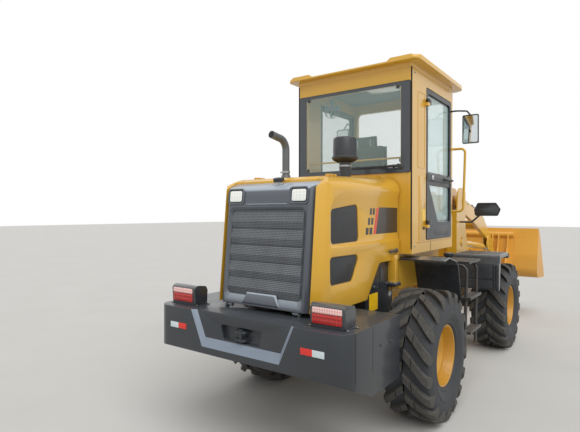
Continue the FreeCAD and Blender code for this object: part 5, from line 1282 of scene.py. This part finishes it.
@piece("cab_controls", "rear", [plastic["black"], plastic["greyTrim"], zinc], "black_plastic")
def controls(bm):
    # instrument binnacle over the column, and the side console with its levers
    addPrism(bm, "xz", [(1150, 1960, 10), (1236, 1960, 10), (1226, 2066, 18), (1176, 2098, 14)], -150, 150, 8)
    addPrism(bm, "xz", [(640, 1346), (1010, 1346), (1010, 1790, 30), (930, 1850, 30), (640, 1850, 20)],
             -500, -330, 10, 1)
    for x in (880, 940):
        addTube(bm, [(x, -415, 1840), (x + 14, -415, 2010)], 7, 8, 2)
        addLathe(bm, (0.08, 0, 1), (x + 14, -415, 2000), [(0, 11), (14, 20), (40, 21), (54, 15), (58, 0)], 18)
    for y in (96, -96):
        addLathe(bm, (0.25, 0, 1), (1188, y, 2078), [(0, 32), (7, 32), (9, 28), (9, 0)], 24, 2)


@piece("cab_lining", "rear", plastic["liner"], "black_plastic")
def lining(bm):
    addPrism(bm, "xy", frameOf(226, 1292, -558, 558, 30), 2966, 2980, 4)
    addPrism(bm, "xz", [(226, 2880), (330, 2966), (226, 2966)], -555, 555)


@piece("cab_lamp_panel", "rear", lens["white"], "lamp_plastic")
def lampPanel(bm):
    addPrism(bm, "xy", frameOf(560, 860, -230, 90, 24), 2953, 2967, 4)


@piece("cab_floor_mat", "rear", plastic["softGrip"], "black_plastic")
def floorMat(bm):
    addPrism(bm, "xy", frameOf(240, 1280, -540, 540, 20), 1346.3, 1352, 1.5)
    for step in range(18):
        x = 960 + step * 17
        addPrism(bm, "xy", frameOf(x, x + 8, -520, 520), 1351, 1354.5)


@piece("cab_fan", "rear", [plastic["liner"], plastic["fanBlue"]], "black_plastic",
       at=machine @ Matrix.Translation((0.42, 0.36, 2.755)))
def fan(bm):
    # cage of rings and ribs round four blades, hung from the lining
    for radius, back in ((95, 0), (70, -22), (40, -32), (95, 24)):
        around = list(roundOf(28))
        addTube(bm, [(back, radius * c, radius * s) for c, s in around + around[:1]], 2.4, 6)
    for c, s in roundOf(8):
        rib = [(back, radius * c, radius * s) for back, radius in ((-34, 0), (-22, 70), (0, 95), (24, 95))]
        addTube(bm, rib, 2, 6)
    for c, s in roundOf(4):
        along, across = Vector((0, c, s)), Vector((0, -s, c))
        corners = [along * 14 - across * 9, along * 80 - across * 34, along * 84 + across * 26,
                   along * 16 + across * 10]
        low = [bm.verts.new(p + Vector((-6 if k < 2 else 8, 0, 0))) for k, p in enumerate(corners)]
        high = [bm.verts.new(p + Vector((-3.5 if k < 2 else 10.5, 0, 0))) for k, p in enumerate(corners)]
        bm.faces.new(low[::-1]).material_index = 1
        bm.faces.new(high).material_index = 1
        addSkin(bm, [low, high], 1)
    addLathe(bm, (1, 0, 0), (-30, 0, 0), [(0, 16), (6, 22), (52, 24), (84, 20), (90, 0)])
    addTube(bm, pathPoints([(40, 0, 18), (40, 0, 120), (40, 0, 212)], 5), 7, 8)


@piece("cab_cross_bar", "rear", paint["cabYellow"], "yellow_paint")
def crossBar(bm):
    addTube(bm, [(262, 561, 2172), (262, -561, 2176)], 9, 12)


print("stage: cab inside")


# Steps, platform, filler cap, side boxes and what stands round them
def addLugs(bm, left, right, inner, outer, top, pitch, length=9.0, width=3.2, slant=0.6):
    # the raised grips of a tread plate, set in turn to both slants
    count = 0
    x = left + pitch / 2
    while x < right:
        y = inner + pitch / 2
        while y < outer:
            turn = slant if count % 2 else -slant
            c, s = math.cos(turn), math.sin(turn)
            grip = ((-length, 0), (0, -width), (length, 0), (0, width))
            addPrism(bm, "xy", [(x + c * a - s * b, y + s * a + c * b) for a, b in grip], top - 0.3, top + 1.8)
            count += 1
            y += pitch
        count += 1
        x += pitch


# Tops of the two steps and the platform; Y of the side box's outer face
stepSize = {"tops": (575, 890), "platform": 1215, "boxSide": 464.5, "cap": (930, -700)}


def makeSideTrim(side, sideName):
    axis, up, face = (0, side, 0), (0, 0, 1), stepSize["boxSide"]

    @piece(f"step_grips_{sideName}", "rear", paint["black"], "ladder_paint")
    def grips(bm):
        addLugs(bm, 712, 1090, *span(side, 500, 950), stepSize["platform"], 30)
        for top in stepSize["tops"]:
            addLugs(bm, 662, 1026, *span(side, 894, 976), top, 24)
            addPrism(bm, "xz", frameOf(650, 1035, top - 22, top + 6, 3), *span(side, 980, 985), 1.5, 1)

    @piece(f"side_box_doors_{sideName}", "rear", [paint["charcoal"], plastic["black"], zinc], "dark_paint")
    def boxDoors(bm):
        addRing(bm, "xz", frameOf(-424, 64, 790, 1226, 24), frameOf(-418, 58, 796, 1220, 20), *span(side, face, 468))
        for left, right in ((-410, -190), (-174, 48)):
            addPrism(bm, "xz", frameOf(left, right, 1040, 1212, 16), *span(side, face, 470), 3)
        for x in (-300, -60):
            addPrism(bm, "xz", frameOf(x - 26, x + 26, 1052, 1078, 6), *span(side, 469, 477), 3)
            addLathe(bm, axis, (x, side * 476, 1065), [(0, 9), (3, 8), (3, 0)], 16, 2)
        for x, z in ((-432, 780), (70, 780), (-432, 1238), (70, 1238)):
            addBolt(bm, axis, (x, side * (face + 0.5), z), 12, 2)

    @piece(f"cab_mount_{sideName}", "rear", [paint["yellow"], plastic["softGrip"], zinc, paint["charcoal"]],
           "yellow_paint")
    def cabMount(bm):
        # a square post on a shelf of the side box carries the cab's rear corner
        addPrism(bm, "xz", frameOf(-18, 50, 1072, 1305.8, 5), *span(side, 468, 534), 3)
        addPrism(bm, "xz", frameOf(-40, 72, 1062, 1074, 3), *span(side, 465, 546), 2, 2)
        addPrism(bm, "xz", [(-46, 1062), (78, 1062), (78, 1040), (-46, 1040)], *span(side, 464, 548), 2, 3)
        for x in (-27, 63):
            addBolt(bm, up, (x, side * 500, 1076), 12, 2)

    @piece(f"side_labels_{sideName}", "rear", [film["yellow"], film["white"], film["orange"]], "dark_paint")
    def labels(bm):
        for layer, edges in enumerate(((-372, -214, 872, 1012, 5), (4, 72, 950, 985, 3), (4, 72, 985, 1026, 3))):
            addPrism(bm, "xz", frameOf(*edges), *span(side, face + 0.3, face + 1.2), 0, layer)


def makeFenderTrim(side, sideName):
    coats = [plastic["glossBlack"], plastic["softGrip"], zinc]

    @piece(f"rear_fender_edge_{sideName}", "rear", coats, "black_plastic")
    def rearEdge(bm):
        # a rolled edge along the outer rim
        rim = [(x, side * 888, z) for x, z in ((185, 1256), (330, 1276), (572, 1220), (684, 872))]
        addTube(bm, pathPoints(rim, 90), 7, 8)
        for x, z in ((240, 1271), (440, 1256), (560, 1226)):
            addBolt(bm, (0, 0, 1), (x, side * 500, z), 12, 2)

    @piece(f"front_fender_edge_{sideName}", "front", coats, "black_plastic")
    def frontEdge(bm):
        rim = [(x, side * 968, z) for x, z in ((1905, 1094), (1925, 1186), (2385, 1186), (2430, 1134))]
        addTube(bm, pathPoints(rim, 30), 7, 8)
        for x in range(1990, 2341, 70):
            addPrism(bm, "xy", frameOf(x, x + 26, *span(side, 500, 950), 8), 1189.7, 1195, 2)
        # moulded panels and ribs on the fender's rear wall
        for low, high, rear in ((806, 896, 1872), (914, 1068, 1874)):
            addPrism(bm, "yz", frameOf(*span(side, 486, 902), low, high, 14), rear, 1880.5, 4)
        for at in (916, 942):
            addPrism(bm, "yz", frameOf(*span(side, at, at + 14), 802, 1076, 6), 1870, 1881, 4)
        for x in (2020, 2180, 2330):
            addBolt(bm, (0, 0, 1), (x, side * 484, 1190), 14, 2)


def makeMirrorGlass(side, sideName):
    @piece(f"cab_mirror_glass_{sideName}", "rear", silvered, "lamp_plastic")
    def cabMirror(bm):
        addPrism(bm, "yz", frameOf(*span(side, 706, 854), 2426, 2714, 14), 1397.6, 1401, 1)

    @piece(f"cab_mirror_edge_{sideName}", "rear", plastic["black"], "black_plastic")
    def cabMirrorEdge(bm):
        addRing(bm, "yz", frameOf(*span(side, 696, 864), 2416, 2724, 18),
                frameOf(*span(side, 705, 855), 2425, 2715, 14), 1394, 1410)
        addLathe(bm, (1, 0, 0), (1429, side * 780, 2640), [(0, 26), (10, 22), (22, 12), (22, 0)], 20)

    @piece(f"tower_mirror_edge_{sideName}", "front", [plastic["black"], plastic["glossBlack"]], "black_plastic")
    def towerMirrorEdge(bm):
        outer, inner = ([(side * y, z, radius) for y, z in zip(places, heights)] for radius, places, heights in (
            (22, (646, 904, 935, 883, 677, 635), (1636, 1636, 1715, 1794, 1794, 1715)),
            (16, (656, 893, 919, 874, 685, 650), (1648, 1648, 1715, 1782, 1782, 1715))))
        addRing(bm, "yz", outer, inner, 2124, 2140)
        addPrism(bm, "yz", inner, 2128.4, 2131, 0.6, 1)


@piece("filler_cap", "rear", plastic["black"], "black_plastic")
def fillerCap(bm):
    (x, y), top = stepSize["cap"], stepSize["platform"]
    addLathe(bm, (0, 0, 1), (x, y, top), [(-0.5, 36), (22, 36), (22, 44), (27, 47), (52, 47), (58, 42), (60, 0)], 32)
    for c, s in roundOf(20):
        addTube(bm, [(x + 47 * c, y + 47 * s, top + 28), (x + 47 * c, y + 47 * s, top + 51)], 2.6, 5)


for side, sideName in sides:
    makeSideTrim(side, sideName)
    makeFenderTrim(side, sideName)
    makeMirrorGlass(side, sideName)
print("stage: steps and fenders")

# Underbody: the drive shaft with its joints, from the rear axle to the articulation
shaftSize = {"rear": 178, "front": 900, "height": 520}


@piece("rear_drive_shaft", "rear", paint["black"], "dark_paint")
def driveShaft(bm):
    length = shaftSize["front"] - shaftSize["rear"]
    yoke = [(0, 62), (14, 62), (14, 40), (60, 34), (74, 44), (90, 30)]
    end = [(length - along, radius) for along, radius in reversed(yoke)]
    addLathe(bm, (1, 0, 0), (shaftSize["rear"], 0, shaftSize["height"]), [(0, 0), *yoke, *end, (length, 0)], 28)


print("stage: underbody")


# Front end: pin caps with their lock plates, pipes along the boom, edges and wear plates of the bucket
@piece("tower_pin_caps", "front", [paint["yellow"], zinc], "yellow_paint")
def pinCaps(bm):
    at = 462
    for side in (1, -1):
        axis = (0, side, 0)
        for x, z, radius in ((2300, 1830, 50), (2225, 1300, 42)):
            addLathe(bm, axis, (x, side * at, z), [(-1, radius), (8, radius), (12, radius - 4), (12, 0)], 28)
            addLathe(bm, axis, (x, side * (at + 12), z), [(0, 7), (5, 6), (9, 4), (9, 0)], 12, 1)
            low, high = z + radius * 0.4, z + radius + 34
            addPrism(bm, "xz", [(x - 12, low, 4), (x + 12, low, 4), (x + 12, high, 8), (x - 12, high, 8)],
                     *span(side, at - 0.5, at + 7), 1.5)
            addBolt(bm, axis, (x, side * (at + 7), z + radius + 20), 14, 1)


bucketSize = {"lip": 5120, "edges": ((-1006, -338), (-334, 334), (338, 1006)), "boltsEach": 5}


@piece("bucket_wear_edge", "bucket", [wornSteel, zinc], "bucket_paint")
def wearEdge(bm):
    # bolted cutting edge in lengths, and the side cutters
    lip, count = bucketSize["lip"], bucketSize["boltsEach"]
    for low, high in bucketSize["edges"]:
        addPrism(bm, "xz", [(lip - 184, 626), (lip - 8, 606), (lip - 8, 612), (lip - 178, 636), (lip - 188, 635)],
                 low, high, 1.0)
        for step in range(count):
            addBolt(bm, (-0.1, 0, 1), (lip - 150, low + (high - low) * (step + 0.5) / count, 631.5), 20, 1)
    for side in (1, -1):
        addPrism(bm, "xz", [(lip - 210, 640, 10), (lip - 10, 618), (lip - 60, 706), (lip - 230, 760, 10)],
                 *span(side, 993, 1009.5), 2)
        for x, z in ((lip - 190, 690), (lip - 110, 665)):
            addBolt(bm, (0, side, 0), (x, side * 1002, z), 15, 1)


@piece("boom_pipes", "boom", [zinc, paint["black"], zinc], "rod_chrome")
def boomPipes(bm):
    # two rigid oil pipes with clamps along the inner top edge of each arm
    for side in (1, -1):
        for y in (388, 414):
            line = [(x, side * y, z) for x, z in ((2520, 1806), (2900, 1771), (3330, 1674), (3560, 1566))]
            addTube(bm, pathPoints(line, 120), 8)
        for x, z in ((2640, 1795), (2860, 1774), (3150, 1715)):
            addPrism(bm, "xz", [(x - 14, z - 14), (x + 14, z - 14), (x + 14, z + 11, 4), (x - 14, z + 11, 4)],
                     *span(side, 374, 428), 1.5, 1)
            addBolt(bm, (0, 0, 1), (x, side * 401, z + 11), 10, 2)


print("stage: front end")

# Studio: pale floor, white surround seen by eye, gloss and glass, and soft light from above
studio = {"floor": "#C9C8C4", "floorShade": "#BFBEBA", "half": 60, "ambient": 0.62, "sunStrength": 1.9,
          "sunAngle": 60.0, "sunTurn": (28, -24)}


def makeStudio():
    half = studio["half"]
    corners = ((-half, -half, 0), (half, -half, 0), (half, half, 0), (-half, half, 0))
    mesh = meshFrom(lambda bm: bm.faces.new([bm.verts.new(p) for p in corners]))
    floor = bpy.data.objects.new("studio_floor", mesh)
    bpy.context.scene.collection.objects.link(floor)
    # smooth screed: pale, matt, with a slight cloud
    mesh.materials.append(twoTone("smooth_pale_screed", {
        "colour": studio["floor"], "shade": studio["floorShade"], "cloud": (900, 4.0)},
        {"Roughness": 0.85, "IOR": 1.45}))
    world = bpy.data.worlds.new("white_surround")
    bpy.context.scene.world = world
    world.use_nodes = True
    tree = world.node_tree
    tree.nodes.clear()
    rays = addNode(tree, "ShaderNodeLightPath")
    seen = times(tree, times(tree, rays.outputs["Is Camera Ray"], rays.outputs["Is Glossy Ray"], "MAXIMUM"),
                 rays.outputs["Is Transmission Ray"], "MAXIMUM")
    strength = remap(tree, seen, 0.0, 1.0, studio["ambient"], 1.0)
    light = addNode(tree, "ShaderNodeBackground", None, {"Color": (1, 1, 1, 1), "Strength": strength})
    addNode(tree, "ShaderNodeOutputWorld", None, {"Surface": light.outputs[0]})
    sun = bpy.data.lights.new("sky_light", "SUN")
    sun.energy = studio["sunStrength"]
    sun.angle = math.radians(studio["sunAngle"])
    lamp = bpy.data.objects.new("sky_light", sun)
    lamp.rotation_euler = (*(math.radians(turn) for turn in studio["sunTurn"]), 0)
    bpy.context.scene.collection.objects.link(lamp)


# Camera where the photograph was taken from: place from the rear axle in metres, turns in degrees
view = {"place": (-3.767, -2.137, 1.669), "yaw": 35.91, "pitch": -0.378, "roll": 0.07, "focalPixels": 464.6,
        "imageWidth": 580, "sensor": 36.0}


def makeCamera():
    camera = bpy.data.cameras.new("camera")
    camera.sensor_fit = "HORIZONTAL"
    camera.sensor_width = view["sensor"]
    camera.lens = view["sensor"] * view["focalPixels"] / view["imageWidth"]
    camera.clip_end = 200
    placed = bpy.data.objects.new("camera", camera)
    turn = (Matrix.Rotation(math.radians(view["yaw"] - 90), 4, "Z")
            @ Matrix.Rotation(math.radians(90 + view["pitch"]), 4, "X")
            @ Matrix.Rotation(math.radians(view["roll"]), 4, "Z"))
    placed.matrix_world = machine @ Matrix.Translation(view["place"]) @ turn
    bpy.context.scene.collection.objects.link(placed)
    bpy.context.scene.camera = placed


makeStudio()
makeCamera()
bpy.context.scene.view_settings.view_transform = "Standard"
print("stage: studio and camera")
